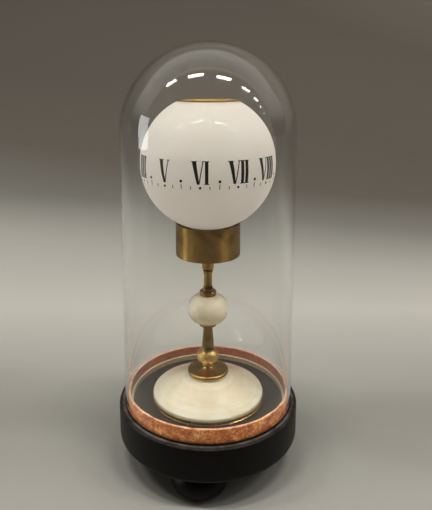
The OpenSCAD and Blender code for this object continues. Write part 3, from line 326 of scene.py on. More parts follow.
def ebonised_wood():
    """Black polish over grain, with dust and a painted reflection on the ledge outside the glass,
    and a worn edge.
    """
    paint = Paint("ebonised_wood")
    _, _, z, away = paint.axis_places()
    base_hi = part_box("wood_base")[1]
    glass_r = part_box("glass_dome")[1].x
    corner = base_hi.z + base_hi.x
    grain = paint.noise(scale=55.0, detail=5.0, distortion=1.2, stretch=(1.0, 14.0, 14.0))
    pores = paint.noise(scale=420.0, detail=3.0, distortion=0.3, stretch=(0.25, 4.0, 4.0))
    top = paint.rise(z, base_hi.z - 1.2 * MM, base_hi.z - 0.4 * MM)
    inside = paint.fall(away, glass_r - 4.0 * MM, glass_r - 3.5 * MM)
    ledge = paint.times(
        paint.rise(away, glass_r, glass_r + 0.5 * MM),
        paint.span(away, glass_r + 1.6 * MM, glass_r + 2.8 * MM, 1.0, 0.15),
    )
    drift = paint.noise(scale=120.0, detail=5.0, distortion=0.5)
    # The ledge outside the glass is lightened: partly dust, partly a painted reflection on its
    # glossy top.
    ledge_dust_and_reflection = paint.times(paint.times(top, ledge), paint.span(drift, 0.35, 0.65, 0.15, 0.75))
    edge = paint.rise(paint.plus(z, away), corner - 1.1 * MM, corner - 0.7 * MM)
    rubs = paint.span(paint.noise(scale=200.0, detail=5.0), 0.42, 0.62, 0.0, 0.6)
    chips = paint.span(paint.noise(scale=170.0, detail=6.0), 0.755, 0.765, 0.0, 0.8)
    colour = paint.layers(
        paint.ramp(grain, (0.3, WOOD_DARK), (0.72, WOOD_GRAIN)),
        (paint.times(paint.times(top, inside), 0.9), WOOD_DECK),
        (ledge_dust_and_reflection, WOOD_DUST_AND_REFLECTION),
        (paint.times(edge, rubs), WOOD_RUBBED),
        (chips, WOOD_CHIP),
    )
    paint.set(
        Base_Color=colour,
        Roughness=paint.span(pores, 0.3, 0.7, 0.34, 0.5),
        Specular_IOR_Level=0.12,
    )
    paint.bump(pores, 0.25, 0.08 * MM)
    return paint.material


def onyx():
    """Polished cream stone, faintly clouded, with fine turning lines. The ball is paler and pinker:
    partly its own tone, partly painted light for the shade of the globe and drum above it.
    """
    paint = Paint("onyx")
    _, _, z, away = paint.axis_places()
    foot_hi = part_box("onyx_foot")[1]
    cloud = paint.noise(scale=32.0, detail=4.0, distortion=1.4)
    veins = paint.noise(scale=60.0, detail=6.0, distortion=2.2, stretch=(1.0, 1.0, 2.6))
    turning = paint.line_noise(paint.plus(away, z), 900.0, 3.0)
    tone = paint.mixture((cloud, 0.5), (veins, 0.3), (turning, 0.2))
    stone = paint.ramp(tone, (0.34, ONYX_DEEP), (0.5, ONYX_CREAM), (0.66, ONYX_PALE))
    # The ball is painted paler: partly its own tone, partly painted light that makes up for the
    # shade above it.
    ball = paint.span(z, foot_hi.z, foot_hi.z + ONYX_FADE, 0.0, 0.85)
    paint.set(
        Base_Color=paint.blend(ball, stone, ONYX_BALL_TONE_AND_LIGHT),
        Roughness=paint.span(cloud, 0.3, 0.7, 0.1, 0.2),
        Subsurface_Weight=1.0,
        Subsurface_Radius=(1.0, 0.82, 0.62),
        Subsurface_Scale=10.0 * MM,
        Coat_Weight=1.0,
        Coat_Roughness=0.12,
    )
    paint.bump(turning, 0.1, 0.03 * MM)
    return paint.material


def opal_glass():
    """Milk glass: light passes through its wall and comes out warmer."""
    paint = Paint("opal_glass")
    swirl = paint.noise(scale=26.0, detail=3.0, distortion=0.8, stretch=(1.0, 1.0, 0.5))
    paint.set(
        Base_Color=paint.ramp(swirl, (0.3, OPAL_WARM), (0.7, OPAL_WHITE)),
        Roughness=0.4,
        Specular_IOR_Level=0.0,
    )
    paint.bump(paint.noise(scale=30.0, detail=1.0), 0.05, 0.2 * MM)
    through = paint.add("ShaderNodeBsdfTranslucent", {"Color": OPAL_THROUGH})
    paint.mix_in(through, OPAL_THROUGH_SHARE)
    paint.mix_in(paint.add("ShaderNodeBsdfGlossy", {"Roughness": 0.05}), OPAL_GLOSS_SHARE)
    return paint.material


def clear_glass():
    """Blown glass with faint ripples, which lets the lamps' light through to what it covers."""
    paint = Paint("clear_glass")
    smears = paint.noise(scale=45.0, detail=6.0, distortion=0.5)
    paint.set(
        Base_Color=GLASS_TINT,
        Roughness=paint.span(smears, 0.55, 0.8, 0.0, 0.03),
        IOR=GLASS_IOR,
        Transmission_Weight=1.0,
    )
    ripples = paint.noise(scale=24.0, detail=1.0, stretch=(1.0, 1.0, 0.35))
    paint.bump(ripples, 0.1, 0.4 * MM)
    through = paint.add("ShaderNodeBsdfTransparent", {"Color": GLASS_SHADOW})
    paint.mix_in(through, paint.add("ShaderNodeLightPath").outputs["Is Shadow Ray"])
    return paint.material


def plush():
    """Copper pile outside with painted shade along its foot, a pale line along the top edge, and
    red-brown backing cloth inside.
    """
    paint = Paint("plush")
    _, _, z, away = paint.axis_places()
    band_lo, band_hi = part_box("plush_band")
    tufts = paint.noise(scale=650.0, detail=4.0, distortion=0.8)
    crush = paint.noise(scale=140.0, detail=4.0, distortion=1.0)
    weave = paint.noise(scale=900.0, detail=2.0, stretch=(1.0, 1.0, 0.4))
    pile = paint.ramp(paint.mixture((tufts, 0.55), (crush, 0.45)), *PILE_STOPS)
    backing = paint.ramp(weave, (0.35, BACKING_DARK), (0.65, BACKING_RED))
    # Painted shade: the pile darkens towards the foot of the band on the deck.
    low = paint.span(z, band_lo.z, band_lo.z + 2.2 * MM, 0.65, 0.0)
    outside = paint.rise(away, band_hi.x - 1.3 * MM, band_hi.x - 1.0 * MM)
    uneven = paint.plus(z, paint.times(crush, 0.8 * MM))
    edge = paint.span(uneven, band_hi.z - 0.35 * MM, band_hi.z + 0.25 * MM, 0.0, 0.85)
    body = paint.blend(outside, backing, paint.blend(low, pile, PILE_FOOT_SHADE))
    paint.set(
        Base_Color=paint.blend(edge, body, PILE_EDGE),
        Roughness=paint.span(tufts, 0.3, 0.7, 0.62, 0.9),
        Sheen_Weight=0.1,
        Sheen_Roughness=0.4,
        Sheen_Tint=(1.0, 0.72, 0.5, 1.0),
    )
    paint.bump(tufts, 0.6, 0.3 * MM)
    return paint.material


def seat_card():
    """Tan card with a painted highlight along its top edge."""
    paint = Paint("seat_card")
    _, _, z, _ = paint.axis_places()
    seat_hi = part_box("seat_ring")[1]
    fibres = paint.noise(scale=520.0, detail=5.0, distortion=0.4, stretch=(1.0, 1.0, 3.0))
    stains = paint.noise(scale=60.0, detail=3.0)
    colour = paint.ramp(fibres, (0.32, CARD_DARK), (0.68, CARD_TAN))
    uneven = paint.plus(z, paint.times(stains, 0.8 * MM))
    # Painted highlight: the card's top edge is paler, where light catches it.
    cut = paint.span(uneven, seat_hi.z - 0.3 * MM, seat_hi.z + 0.2 * MM, 0.0, 0.9)
    paint.set(
        Base_Color=paint.blend(cut, colour, CARD_TOP_HIGHLIGHT),
        Roughness=paint.span(fibres, 0.3, 0.7, 0.75, 0.95),
    )
    paint.bump(fibres, 0.4, 0.1 * MM)
    return paint.material


def hour_paint():
    """Black paint, a little worn."""
    paint = Paint("hour_paint")
    worn = paint.noise(scale=700.0, detail=4.0)
    paint.set(
        Base_Color=paint.ramp(worn, (0.4, INK), (0.75, INK_WORN)),
        Roughness=paint.span(worn, 0.3, 0.7, 0.3, 0.45),
        Specular_IOR_Level=0.3,
    )
    return paint.material


def wax():
    paint = Paint("wax")
    cloud = paint.noise(scale=180.0, detail=3.0, distortion=0.6)
    paint.set(
        Base_Color=paint.ramp(cloud, (0.3, WAX_WARM), (0.7, WAX_PALE)),
        Roughness=paint.span(cloud, 0.3, 0.7, 0.32, 0.45),
        Subsurface_Weight=0.6,
        Subsurface_Radius=(1.0, 0.7, 0.45),
        Subsurface_Scale=3.0 * MM,
    )
    paint.bump(cloud, 0.3, 0.2 * MM)
    return paint.material


def wick():
    """Twisted cotton with a charred tip."""
    paint = Paint("wick")
    _, _, z, _ = paint.axis_places()
    wick_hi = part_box("wick")[1]
    strands = paint.noise(scale=2200.0, detail=2.0, stretch=(1.0, 1.0, 0.5))
    cotton = paint.ramp(strands, (0.35, COTTON_DARK), (0.65, COTTON_PALE))
    charred = paint.rise(z, wick_hi.z - 3.0 * MM, wick_hi.z - 1.5 * MM)
    paint.set(Base_Color=paint.blend(charred, cotton, CHAR), Roughness=0.9)
    paint.bump(strands, 0.6, 0.1 * MM)
    return paint.material


MATERIALS = {
    "ebonised_wood": ebonised_wood(),
    "seat_card": seat_card(),
    "plush": plush(),
    "clear_glass": clear_glass(),
    "onyx": onyx(),
    "aged_brass": aged_brass(),
    "movement_brass": turned_metal(
        "movement_brass", MOVEMENT_DULL, MOVEMENT_BRIGHT, (0.22, 0.34), 0.01 * MM, 3000.0
    ),
    "polished_steel": turned_metal(
        "polished_steel", STEEL_DULL, STEEL_BRIGHT, (0.14, 0.26), 0.005 * MM, 4000.0
    ),
    "blued_steel": turned_metal(
        "blued_steel", BLUE_DULL, BLUE_BRIGHT, (0.16, 0.28), 0.005 * MM, 4000.0
    ),
    "opal_glass": opal_glass(),
    "wax": wax(),
    "wick": wick(),
    "hour_paint": hour_paint(),
}


# Carried-over solids: smooth shading on their curves, and the material of their slot

WELD_WITHIN, SMOOTH_BELOW = 1e-6, math.radians(28.0)


def smooth_shading():
    group = bpy.data.node_groups.new("smooth_curves", "GeometryNodeTree")
    for way in ("INPUT", "OUTPUT"):
        group.interface.new_socket("Geometry", in_out=way, socket_type="NodeSocketGeometry")
    add, link = group.nodes.new, group.links.new
    start, end = add("NodeGroupInput"), add("NodeGroupOutput")
    weld = add("GeometryNodeMergeByDistance")
    faces, edges = add("GeometryNodeSetShadeSmooth"), add("GeometryNodeSetShadeSmooth")
    bend, slight = add("GeometryNodeInputMeshEdgeAngle"), add("FunctionNodeCompare")
    weld.inputs["Distance"].default_value = WELD_WITHIN
    edges.domain = "EDGE"
    slight.operation = "LESS_THAN"
    slight.inputs["B"].default_value = SMOOTH_BELOW
    link(start.outputs[0], weld.inputs["Geometry"])
    link(weld.outputs[0], faces.inputs["Geometry"])
    link(faces.outputs[0], edges.inputs["Geometry"])
    link(bend.outputs["Unsigned Angle"], slight.inputs["A"])
    link(slight.outputs[0], edges.inputs["Shade Smooth"])
    link(edges.outputs[0], end.inputs[0])
    return group


smooth = smooth_shading()
for part in frame["record"]["subparts"]:
    solid = frame["nodes"][part["node"]]
    solid.data.materials.clear()
    solid.data.materials.append(MATERIALS[part["material_slot"]])
    solid.modifiers.new("smooth_curves", "NODES").node_group = smooth


# Pieces made here

POLE_R = 1e-9


def new_object(name, bm, material, smooth_faces=None):
    """A mesh object, shaded smooth or flat, or as bm has it."""
    mesh = bpy.data.meshes.new(name)
    bm.to_mesh(mesh)
    bm.free()
    if smooth_faces is not None:
        for face in mesh.polygons:
            face.use_smooth = smooth_faces
    mesh.materials.append(material)
    made = bpy.data.objects.new(name, mesh)
    scene.collection.objects.link(made)
    return made


def piece(name, bm, material, body, smooth_faces=True):
    made = new_object(name, bm, material, smooth_faces)
    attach(made, body)
    return made


def arc(mid_r, mid_z, radius, start, step, count):
    """Points of an outline on a round edge, from an angle and by a step in degrees."""
    angles = [math.radians(start + step * k) for k in range(count)]
    return [(mid_r + radius * math.cos(a), mid_z + radius * math.sin(a)) for a in angles]


def lathe(outline, steps, move=None):
    """A closed outline of (radius, height) turned about the axis. A point at radius 0 is a pole."""
    bm = bmesh.new()
    rows = []
    for r, z in outline:
        if r < POLE_R:
            rows.append([bm.verts.new((0.0, 0.0, z))])
            continue
        row = []
        for k in range(steps):
            turn = 2.0 * math.pi * k / steps
            place = Vector((r * math.cos(turn), r * math.sin(turn), z))
            row.append(bm.verts.new(move(place) if move else place))
        rows.append(row)
    pairs = list(zip(rows, rows[1:]))
    if len(rows[0]) > 1 and len(rows[-1]) > 1:
        pairs.append((rows[-1], rows[0]))
    for low, high in pairs:
        for k in range(steps):
            n = (k + 1) % steps
            if len(low) == 1:
                bm.faces.new((low[0], high[n], high[k]))
            elif len(high) == 1:
                bm.faces.new((low[k], low[n], high[0]))
            else:
                bm.faces.new((low[k], low[n], high[n], high[k]))
    bmesh.ops.recalc_face_normals(bm, faces=bm.faces)
    return bm


# Glass dome

DOME_WALL = 2.0 * MM
DOME_STEPS, TUBE_ROWS, TOP_ROWS = 192, 36, 48
LIP_START, LIP_STEP, LIP_POINTS = 180.0, 15.0, 13
RIPPLE_FLAT, RIPPLE_TALL = 22.0, 11.0
RIPPLE_DEPTH, RIPPLE_FROM_FOOT = 0.05 * MM, 40.0 * MM
dome_lo, dome_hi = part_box("glass_dome")
dome_r = dome_hi.x
dome_in_r = dome_r - DOME_WALL
shoulder_z = dome_hi.z - dome_r


def quarter_round(r):
    turns = [0.5 * math.pi * k / TOP_ROWS for k in range(TOP_ROWS)]
    side = [(r * math.cos(turn), shoulder_z + r * math.sin(turn)) for turn in turns]
    return side + [(0.0, shoulder_z + r)]


def dome_ripple(place):
    """Blown glass is a little uneven: it draws in by up to 0.1 mm, least at the foot."""
    at = (place.x * RIPPLE_FLAT, place.y * RIPPLE_FLAT, place.z * RIPPLE_TALL)
    rise = min(1.0, (place.z - dome_lo.z) / RIPPLE_FROM_FOOT)
    inward = RIPPLE_DEPTH * (1.0 + noise.noise(Vector(at))) * rise
    flat = Vector((place.x, place.y, 0.0))
    if place.z > shoulder_z:
        flat.z = place.z - shoulder_z
    return place - flat.normalized() * inward


def glass_outline():
    lip = 0.5 * DOME_WALL
    foot_z = dome_lo.z + lip
    foot = arc(dome_in_r + lip, foot_z, lip, LIP_START, LIP_STEP, LIP_POINTS)
    tube = [foot_z + (shoulder_z - foot_z) * k / TUBE_ROWS for k in range(1, TUBE_ROWS)]
    outside = [(dome_r, z) for z in tube] + quarter_round(dome_r)
    inside = [(dome_in_r, z) for z in tube] + quarter_round(dome_in_r)
    return list(reversed(inside)) + foot + outside


dome = piece(
    "blown_dome", lathe(glass_outline(), DOME_STEPS, dome_ripple), MATERIALS["clear_glass"], "dome"
)
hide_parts("glass_dome")


# Brass cap on the stone foot: a round bead, a hollow slope and a neck

CAP_STEPS = 128
CAP_HOLE, CAP_BEAD, CAP_NECK = 1.7 * MM, 1.5 * MM, 4.3 * MM
BEAD_START, BEAD_STEP, BEAD_POINTS = -90.0, 10.0, 21
# Radius and height above the cap's foot, in millimetres
CAP_SLOPE = (
    (12.6, 2.75),
    (10.6, 2.85),
    (8.4, 3.1),
    (6.4, 3.6),
    (4.9, 4.3),
    (3.9, 5.1),
    (3.5, 5.8),
    (3.7, 6.4),
    (4.3, 6.8),
)
cap_lo, cap_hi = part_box("foot_cap")


def cap_outline():
    mid_r, mid_z = cap_hi.x - CAP_BEAD, cap_lo.z + CAP_BEAD
    bead = arc(mid_r, mid_z, CAP_BEAD, BEAD_START, BEAD_STEP, BEAD_POINTS)
    slope = [(r * MM, cap_lo.z + z * MM) for r, z in CAP_SLOPE]
    neck = [(CAP_NECK, cap_hi.z), (CAP_HOLE, cap_hi.z)]
    return [(CAP_HOLE, cap_lo.z)] + bead + slope + neck


cap = piece("turned_cap", lathe(cap_outline(), CAP_STEPS), MATERIALS["aged_brass"], "stand")
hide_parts("foot_cap")


# Plush band: pile of uneven length on a backing cloth

BAND_STEPS, BAND_ROWS = 720, 12
CROWN_STEP, CROWN_POINTS = 22.5, 7
BAND_ROOM = 0.05 * MM
TUFT_SCALE, CRUSH_SCALE = 900.0, 160.0
TUFT_OUT, CRUSH_OUT, PILE_DEPTH = 0.16 * MM, 0.1 * MM, 0.6
TUFT_UP, CRUSH_UP, EDGE_DROP = 0.2 * MM, 0.35 * MM, 0.3 * MM
band_lo, band_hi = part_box("plush_band")
band_t = band_hi.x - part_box("seat_ring")[1].x
band_h = band_hi.z - band_lo.z


def band_outline():
    mid = band_hi.x - 0.5 * band_t
    half = 0.5 * band_t - BAND_ROOM
    side = [band_lo.z + (band_h - half) * k / BAND_ROWS for k in range(BAND_ROWS + 1)]
    crown = arc(mid, band_hi.z - half, half, CROWN_STEP, CROWN_STEP, CROWN_POINTS)
    return [(mid + half, z) for z in side] + crown + [(mid - half, z) for z in reversed(side)]


def band_ruffle(place):
    """Tufts stand out or lie down, on the outside and along the top edge."""
    away = math.hypot(place.x, place.y)
    fine = noise.noise(place * TUFT_SCALE)
    broad = noise.noise(place * CRUSH_SCALE)
    depth = PILE_DEPTH * band_t
    pile = max(0.0, (away - (band_hi.x - depth)) / depth)
    grow = pile * (TUFT_OUT * fine + CRUSH_OUT * broad)
    high = max(0.0, (place.z - band_lo.z) / band_h)
    scale = (away + grow) / away
    lift = high**4 * (CRUSH_UP * broad + TUFT_UP * fine - EDGE_DROP)
    return Vector((place.x * scale, place.y * scale, place.z + lift))


band = piece(
    "plush_strip", lathe(band_outline(), BAND_STEPS, band_ruffle), MATERIALS["plush"], "stand"
)
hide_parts("plush_band")

# Fibres of the pile. Each pair is a range in millimetres
FIBRES, TOP_SHARE = 5000, 0.25
ROOT_DEPTH, FIBRE_OUT = 0.15 * MM, 0.34 * MM
TOP_DOWN, TOP_IN, TOP_LONG = (0.4, 0.9), (0.2, 1.2), (0.5, 0.95)
SIDE_UP, SIDE_DROOP = (0.3, 9.6), (-0.5, 0.3)
FIBRE_LEAN, TOP_LEAN, FIBRE_THICK = (-0.6, 0.6), 0.6, (0.04, 0.08)
UP = Vector((0.0, 0.0, 1.0))


def plush_pile(count):
    """Short tapered fibres on the outside and the top edge of the band."""
    bm = bmesh.new()
    root_r = band_hi.x - ROOT_DEPTH
    for _ in range(count):
        turn = random.uniform(0.0, 2.0 * math.pi)
        on_top = random.random() < TOP_SHARE
        if on_top:
            z = band_hi.z - random.uniform(*TOP_DOWN) * MM
            r = root_r - random.uniform(*TOP_IN) * MM
        else:
            z = band_lo.z + random.uniform(*SIDE_UP) * MM
            r = root_r
        out = Vector((math.cos(turn), math.sin(turn), 0.0))
        side = Vector((-out.y, out.x, 0.0))
        root = out * r + UP * z
        lean = random.uniform(*FIBRE_LEAN)
        if on_top:
            tip = root + UP * (random.uniform(*TOP_LONG) * MM) + side * lean * MM * TOP_LEAN
        else:
            droop = UP * (random.uniform(*SIDE_DROOP) * MM)
            tip = root + out * FIBRE_OUT + side * lean * MM + droop
        thick = random.uniform(*FIBRE_THICK) * MM
        along = (tip - root).normalized()
        across = along.cross(side if on_top else UP).normalized()
        over = along.cross(across)
        ring = [
            bm.verts.new(root + thick * (math.cos(a) * across + math.sin(a) * over))
            for a in (0.0, 2.0 * math.pi / 3.0, 4.0 * math.pi / 3.0)
        ]
        point = bm.verts.new(tip)
        bm.faces.new(tuple(reversed(ring)))
        for k in range(3):
            bm.faces.new((ring[k], ring[(k + 1) % 3], point))
    bmesh.ops.recalc_face_normals(bm, faces=bm.faces)
    return bm


pile = piece("plush_pile", plush_pile(FIBRES), MATERIALS["plush"], "stand")


# Click spring, cut along its leaf from the fixed end to the free end, which in the clock bends with
# the click. Places are in millimetres from the winding arbor, along and across the click's
# direction

CLICK_TURN, SPRING_X = math.radians(125.0), 5.425
SPRING_FIXED_Y, SPRING_FREE_Y = 1.9, -0.1
SPRING_CUTS, SPRING_EDGE, SPRING_WELD = 12, 1.0 * MM, 1e-7


def spring_place(y):
    joints = {joint["name"]: joint for joint in frame["record"]["behaviour"]["joints"]}
    middle = Vector(joints["winding_turn"]["pos_m"])
    c, s = math.cos(CLICK_TURN), math.sin(CLICK_TURN)
    return middle + MM * Vector((c * SPRING_X - s * y, s * SPRING_X + c * y, 0.0))


def click_leaf():
    """The solid's own shape, cut along the leaf so that it can bend."""
    fixed, free = spring_place(SPRING_FIXED_Y), spring_place(SPRING_FREE_Y)
    along = (free - fixed).normalized()
    bm = bmesh.new()
    bm.from_mesh(frame["nodes"]["click_spring"].data)
    bmesh.ops.remove_doubles(bm, verts=bm.verts, dist=SPRING_WELD)
    lines = [
        edge
        for edge in bm.edges
        if abs((edge.verts[1].co - edge.verts[0].co).dot(along)) > SPRING_EDGE
    ]
    bmesh.ops.subdivide_edges(bm, edges=lines, cuts=SPRING_CUTS, use_grid_fill=True)
    made = new_object("click_leaf", bm, MATERIALS["blued_steel"])
    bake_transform(made)
    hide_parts("click_spring")


click_leaf()


# Hours on the globe, in millimetres on its surface and in degrees round it

FRONT_HOUR, FRONT_TURN, HOUR_TURN = 6, -96.0, 30.0
NUMERALS = ("XII", "I", "II", "III", "IIII", "V", "VI", "VII", "VIII", "IX", "X", "XI")
NUMERAL_H = 15.0
STEM, THICK, THIN = 2.1, 2.75, 0.65
PITCH, WIDE, SPACE = 3.1, 7.5, 0.9
# Where the foot of a V stands in its width, and how far it reaches left and right
V_FOOT, V_LEFT, V_RIGHT = 0.56, 0.35, 0.25
SERIF, SERIF_OUT = 0.5, 0.6
HOUR_DOT, HOUR_DOT_AT = 0.85, -9.8
HALF_DOT, HALF_DOT_AT = 0.95, -5.6
HALF_TICK, QUARTER_TICK = (-10.9, -7.5), (-11.0, -8.8)
TICK_W = 0.5
FILM, GRID_STEP, DOT_CELLS = 0.05, 0.8, 8
# Radius of the globe's lower hole, which gives the height of its middle
HOLE_R = 12.0
globe_lo, globe_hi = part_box("globe")
globe_r = globe_hi.x / MM
globe_mid = Vector((0.0, 0.0, globe_lo.z + MM * math.sqrt(globe_r**2 - HOLE_R**2)))


def bar(left, right, low, high):
    return [(left, low), (right, low), (right, high), (left, high)]


def serif(left, right, at):
    edge = 0.5 * NUMERAL_H
    low, high = (edge - SERIF, edge) if at > 0 else (-edge, SERIF - edge)
    return bar(left - SERIF_OUT, right + SERIF_OUT, low, high)


def letter(kind, x):
    """Strokes of one letter from its left edge x, the room that it takes, and its width."""
    top, low = 0.5 * NUMERAL_H, -0.5 * NUMERAL_H
    if kind == "I":
        right = x + STEM
        return [bar(x, right, low, top), serif(x, right, 1), serif(x, right, -1)], PITCH, STEM
    right = x + WIDE
    heads = [serif(x, x + THICK, 1), serif(right - THIN, right, 1)]
    if kind == "V":
        foot = x + V_FOOT * WIDE
        foot_l, foot_r = foot - V_LEFT * THICK, foot + V_RIGHT * THICK
        thick = [(foot_l, low), (foot_r, low), (x + THICK, top), (x, top)]
        thin = [(foot_r - THIN, low), (foot_r, low), (right, top), (right - THIN, top)]
        return [thick, thin] + heads, WIDE + SPACE, WIDE
    thick = [(right - THICK, low), (right, low), (x + THICK, top), (x, top)]
    thin = [(x, low), (x + THIN, low), (right, top), (right - THIN, top)]
    feet = [serif(x, x + THIN, -1), serif(right - THICK, right, -1)]
    return [thick, thin] + heads + feet, WIDE + SPACE, WIDE


def numeral(word):
    strokes, x, right = [], 0.0, 0.0
    for kind in word:
        made, room, width = letter(kind, x)
        strokes += made
        right = x + width
        x += room
    return [[(u - 0.5 * right, v) for u, v in stroke] for stroke in strokes]


def on_globe(u, v, turn, lift):
    """A place u to the right of the meridian at turn and v above the equator."""
    around = math.radians(turn) + u / globe_r
    up = v / globe_r
    r = (globe_r + lift) * MM
    return globe_mid + r * Vector(
        (math.cos(up) * math.cos(around), math.cos(up) * math.sin(around), math.sin(up))
    )


def film(bm, rows, turn):
    """A thin raised film of paint over a grid of places."""
    top = [[bm.verts.new(on_globe(u, v, turn, FILM)) for u, v in row] for row in rows]
    under = [[bm.verts.new(on_globe(u, v, turn, -FILM)) for u, v in row] for row in rows]
    high, wide = len(rows), len(rows[0])
    for i in range(high - 1):
        for j in range(wide - 1):
            bm.faces.new((top[i][j], top[i][j + 1], top[i + 1][j + 1], top[i + 1][j]))
            bm.faces.new((under[i][j], under[i + 1][j], under[i + 1][j + 1], under[i][j + 1]))
    edge = [(0, j) for j in range(wide)] + [(i, wide - 1) for i in range(1, high)]
    edge += [(high - 1, j) for j in range(wide - 2, -1, -1)]
    edge += [(i, 0) for i in range(high - 2, 0, -1)]
    for (a, b), (c, d) in zip(edge, edge[1:] + edge[:1]):
        bm.faces.new((top[a][b], under[a][b], under[c][d], top[c][d]))


def stroke_grid(corners):
    a, b, c, d = (Vector(p) for p in corners)
    wide = max(1, math.ceil(max((b - a).length, (c - d).length) / GRID_STEP))
    high = max(1, math.ceil(max((d - a).length, (c - b).length) / GRID_STEP))
    return [
        [a.lerp(b, j / wide).lerp(d.lerp(c, j / wide), i / high) for j in range(wide + 1)]
        for i in range(high + 1)
    ]


def dot_grid(r, v):
    """A square grid drawn round."""
    steps = [2.0 * k / DOT_CELLS - 1.0 for k in range(DOT_CELLS + 1)]
    return [
        [
            (r * x * math.sqrt(1.0 - 0.5 * y * y), v + r * y * math.sqrt(1.0 - 0.5 * x * x))
            for x in steps
        ]
        for y in steps
    ]


def tick_grid(ends):
    return stroke_grid(bar(-0.5 * TICK_W, 0.5 * TICK_W, *ends))


def hour_marks():
    bm = bmesh.new()
    for hour, word in enumerate(NUMERALS):
        turn = FRONT_TURN + HOUR_TURN * (hour - FRONT_HOUR)
        half = turn + 0.5 * HOUR_TURN
        for stroke in numeral(word):
            film(bm, stroke_grid(stroke), turn)
        film(bm, dot_grid(HOUR_DOT, HOUR_DOT_AT), turn)
        film(bm, dot_grid(HALF_DOT, HALF_DOT_AT), half)
        film(bm, tick_grid(HALF_TICK), half)
        for quarter in (0.25, 0.75):
            film(bm, tick_grid(QUARTER_TICK), turn + quarter * HOUR_TURN)
    bmesh.ops.recalc_face_normals(bm, faces=bm.faces)
    return bm


marks = piece("hour_marks", hour_marks(), MATERIALS["hour_paint"], "dial", smooth_faces=False)


# Stage: a pale floor that sweeps up behind, with light and shade painted into its tones

FLOOR_HALF, SWEEP_Y, SWEEP_R, WALL_H = 3.0, 0.9, 0.6, 2.2
SWEEP_ROWS = 24
SWEEP_SPAN = (-1.2, 3.2)
FLOOR_TINT, WALL_TINT = (1.0, 0.995, 0.925), (1.0, 0.885, 0.74)
# Light and shade painted along the floor and up the wall: dark in front, a painted shaded band at
# the clock and a painted pool of light behind it
SWEEP_LIGHT_AND_SHADE = (
    (-1.2, 0.05, FLOOR_TINT),
    (-0.5, 0.1, FLOOR_TINT),
    (-0.2, 0.28, FLOOR_TINT),
    (-0.1, 0.38, FLOOR_TINT),
    (-0.06, 0.42, FLOOR_TINT),
    (-0.01, 0.36, FLOOR_TINT),
    (0.05, 0.33, FLOOR_TINT),
    (0.14, 0.44, FLOOR_TINT),
    (0.27, 0.63, FLOOR_TINT),
    (0.46, 0.53, FLOOR_TINT),
    (0.8, 0.27, FLOOR_TINT),
    (1.1, 0.19, WALL_TINT),
    (1.5, 0.175, WALL_TINT),
    (2.1, 0.2, WALL_TINT),
    (3.2, 0.6, WALL_TINT),
)
# How much farther back the painted tones lie on the left, and where the floor is painted darker at
# the sides
SKEW_FROM, SKEW_TO, SKEW = 0.25, 0.6, 0.42
SIDE_FROM, SIDE_TO, SIDE_SHADE, SIDE_TOP = 0.8, 1.3, 0.8, 0.3
SIDE_SHADE_COLOUR, GRIT_COLOUR = (0.06, 0.055, 0.05), (0.36, 0.34, 0.31)


def sweep_paint():
    paint = Paint("sweep")
    x, y, z, _ = paint.axis_places()
    skew = paint.times(x, paint.span(y, SKEW_FROM, SKEW_TO, 0.0, SKEW))
    along = paint.plus(paint.plus(y, z), skew)
    low, high = SWEEP_SPAN
    stops = [
        ((at - low) / (high - low), tuple(share * c for c in tint))
        for at, share, tint in SWEEP_LIGHT_AND_SHADE
    ]
    # The painted light and shade of the floor and wall.
    lit = paint.ramp(paint.rise(along, low, high), *stops)
    side = paint.span(paint.math("ABSOLUTE", x), SIDE_FROM, SIDE_TO, 0.0, SIDE_SHADE)
    side_painted_shade = paint.times(side, paint.fall(z, 0.0, SIDE_TOP))
    grit = paint.span(paint.noise(scale=600.0, detail=4.0), 0.3, 0.7, 0.0, 0.06)
    paint.set(
        Base_Color=paint.layers(lit, (side_painted_shade, SIDE_SHADE_COLOUR), (grit, GRIT_COLOUR)),
        Roughness=0.8,
    )
    return paint.material


def sweep():
    bm = bmesh.new()
    line = [(-FLOOR_HALF, 0.0), (SWEEP_Y, 0.0)]
    for k in range(1, SWEEP_ROWS + 1):
        a = 0.5 * math.pi * k / SWEEP_ROWS
        line.append((SWEEP_Y + SWEEP_R * math.sin(a), SWEEP_R * (1.0 - math.cos(a))))
    line.append((SWEEP_Y + SWEEP_R, WALL_H))
    rows = [[bm.verts.new((x, y, z)) for x in (-FLOOR_HALF, FLOOR_HALF)] for y, z in line]
    for a, b in zip(rows, rows[1:]):
        bm.faces.new((a[0], a[1], b[1], b[0]))
    made = new_object("sweep", bm, sweep_paint(), smooth_faces=True)


sweep()


# Light: a row of ceiling tubes, and a window on the left that shows only in reflections

CEILING = 2.25
# Place to the right, place in depth and glow of each tube
TUBES = (
    (-1.52, -0.28, 56.0),
    (-0.44, -0.42, 70.0),
    (0.61, -0.51, 70.0),
    (1.77, -0.63, 60.0),
    (2.9, -0.76, 36.0),
    (4.2, -0.98, 30.0),
    (5.78, -1.22, 30.0),
)
TUBE_SIZE = (0.58, 0.11)
TUBE_COLOUR, WINDOW_COLOUR = (1.0, 0.96, 0.9), (0.94, 0.97, 1.0)
WINDOW_AT, WINDOW_AIM = Vector((-1.9, -0.1, 0.3)), Vector((0.0, 0.0, 0.245))
WINDOW_SIZE, WINDOW_GLOW = (0.55, 0.8), 7.0


def lamp(name, place, turn, size, glow, colour):
    light = bpy.data.lights.new(name, "AREA")
    light.shape = "RECTANGLE"
    light.size, light.size_y = size
    light.energy = glow * size[0] * size[1] * math.pi
    light.color = colour
    made = bpy.data.objects.new(name, light)
    made.location = place
    made.rotation_euler = turn
    scene.collection.objects.link(made)
    return made


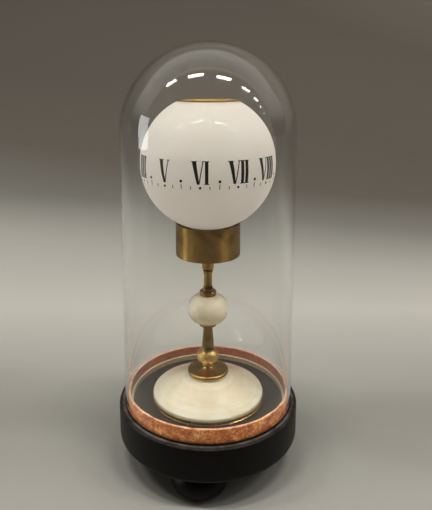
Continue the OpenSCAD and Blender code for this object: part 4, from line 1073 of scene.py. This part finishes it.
for count, (x, y, glow) in enumerate(TUBES):
    lamp(f"tube_{count}", (x, y, CEILING), (0.0, 0.0, 0.0), TUBE_SIZE, glow, TUBE_COLOUR)
window_turn = (WINDOW_AT - WINDOW_AIM).to_track_quat("Z", "Y").to_euler()
window = lamp("window", WINDOW_AT, window_turn, WINDOW_SIZE, WINDOW_GLOW, WINDOW_COLOUR)
window.visible_transmission = False
window.visible_diffuse = False


# Room: dark below and in front, pale above and behind

ROOM_LOW = (0.018, 0.017, 0.016)
ROOM_RISE = (0.1, 0.5)
# From the front, 0, to the back, 1
ROOM_ABOVE = (
    (0.0, (0.085, 0.08, 0.072)),
    (0.47, (0.07, 0.066, 0.06)),
    (0.49, (0.75, 0.68, 0.58)),
    (0.52, (0.55, 0.52, 0.47)),
    (1.0, (0.65, 0.61, 0.55)),
)


def room():
    world = bpy.data.worlds.new("room")
    scene.world = world
    world.use_nodes = True
    tree = world.node_tree
    add, link = tree.nodes.new, tree.links.new
    split, above, mixed = (
        add("ShaderNodeSeparateXYZ"),
        add("ShaderNodeValToRGB"),
        add("ShaderNodeMix"),
    )
    depth, height = add("ShaderNodeMapRange"), add("ShaderNodeMapRange")
    mixed.data_type = "RGBA"
    mixed.inputs[MIX_A].default_value = (*ROOM_LOW, 1.0)
    depth.inputs["From Min"].default_value = -1.0
    height.inputs["From Min"].default_value = ROOM_RISE[0]
    height.inputs["From Max"].default_value = ROOM_RISE[1]
    fill_ramp(above, ROOM_ABOVE)
    link(add("ShaderNodeTexCoord").outputs["Generated"], split.inputs["Vector"])
    link(split.outputs["Y"], depth.inputs["Value"])
    link(split.outputs["Z"], height.inputs["Value"])
    link(depth.outputs["Result"], above.inputs["Fac"])
    link(height.outputs["Result"], mixed.inputs["Factor"])
    link(above.outputs["Color"], mixed.inputs[MIX_B])
    link(mixed.outputs[MIX_OUT], tree.nodes["Background"].inputs["Color"])


room()


# Camera, as the photograph was taken

IMAGE_W, IMAGE_H = 432.0, 510.0
FOCAL_PX, MIDDLE_PX = 569.7, (208.0, 170.8)
SENSOR, NEAREST = 36.0, 0.01
CAMERA_AT, CAMERA_DOWN = (0.0, -0.3995, 0.2839), 9.39
view = bpy.data.cameras.new("camera")
view.sensor_fit = "AUTO"
view.sensor_width = SENSOR
view.lens = FOCAL_PX * SENSOR / IMAGE_H
view.shift_x = (0.5 * IMAGE_W - MIDDLE_PX[0]) / IMAGE_H
view.shift_y = -(0.5 * IMAGE_H - MIDDLE_PX[1]) / IMAGE_H
view.clip_start = NEAREST
camera = bpy.data.objects.new("camera", view)
camera.location = CAMERA_AT
camera.rotation_euler = (math.radians(90.0 - CAMERA_DOWN), 0.0, 0.0)
scene.collection.objects.link(camera)
scene.camera = camera
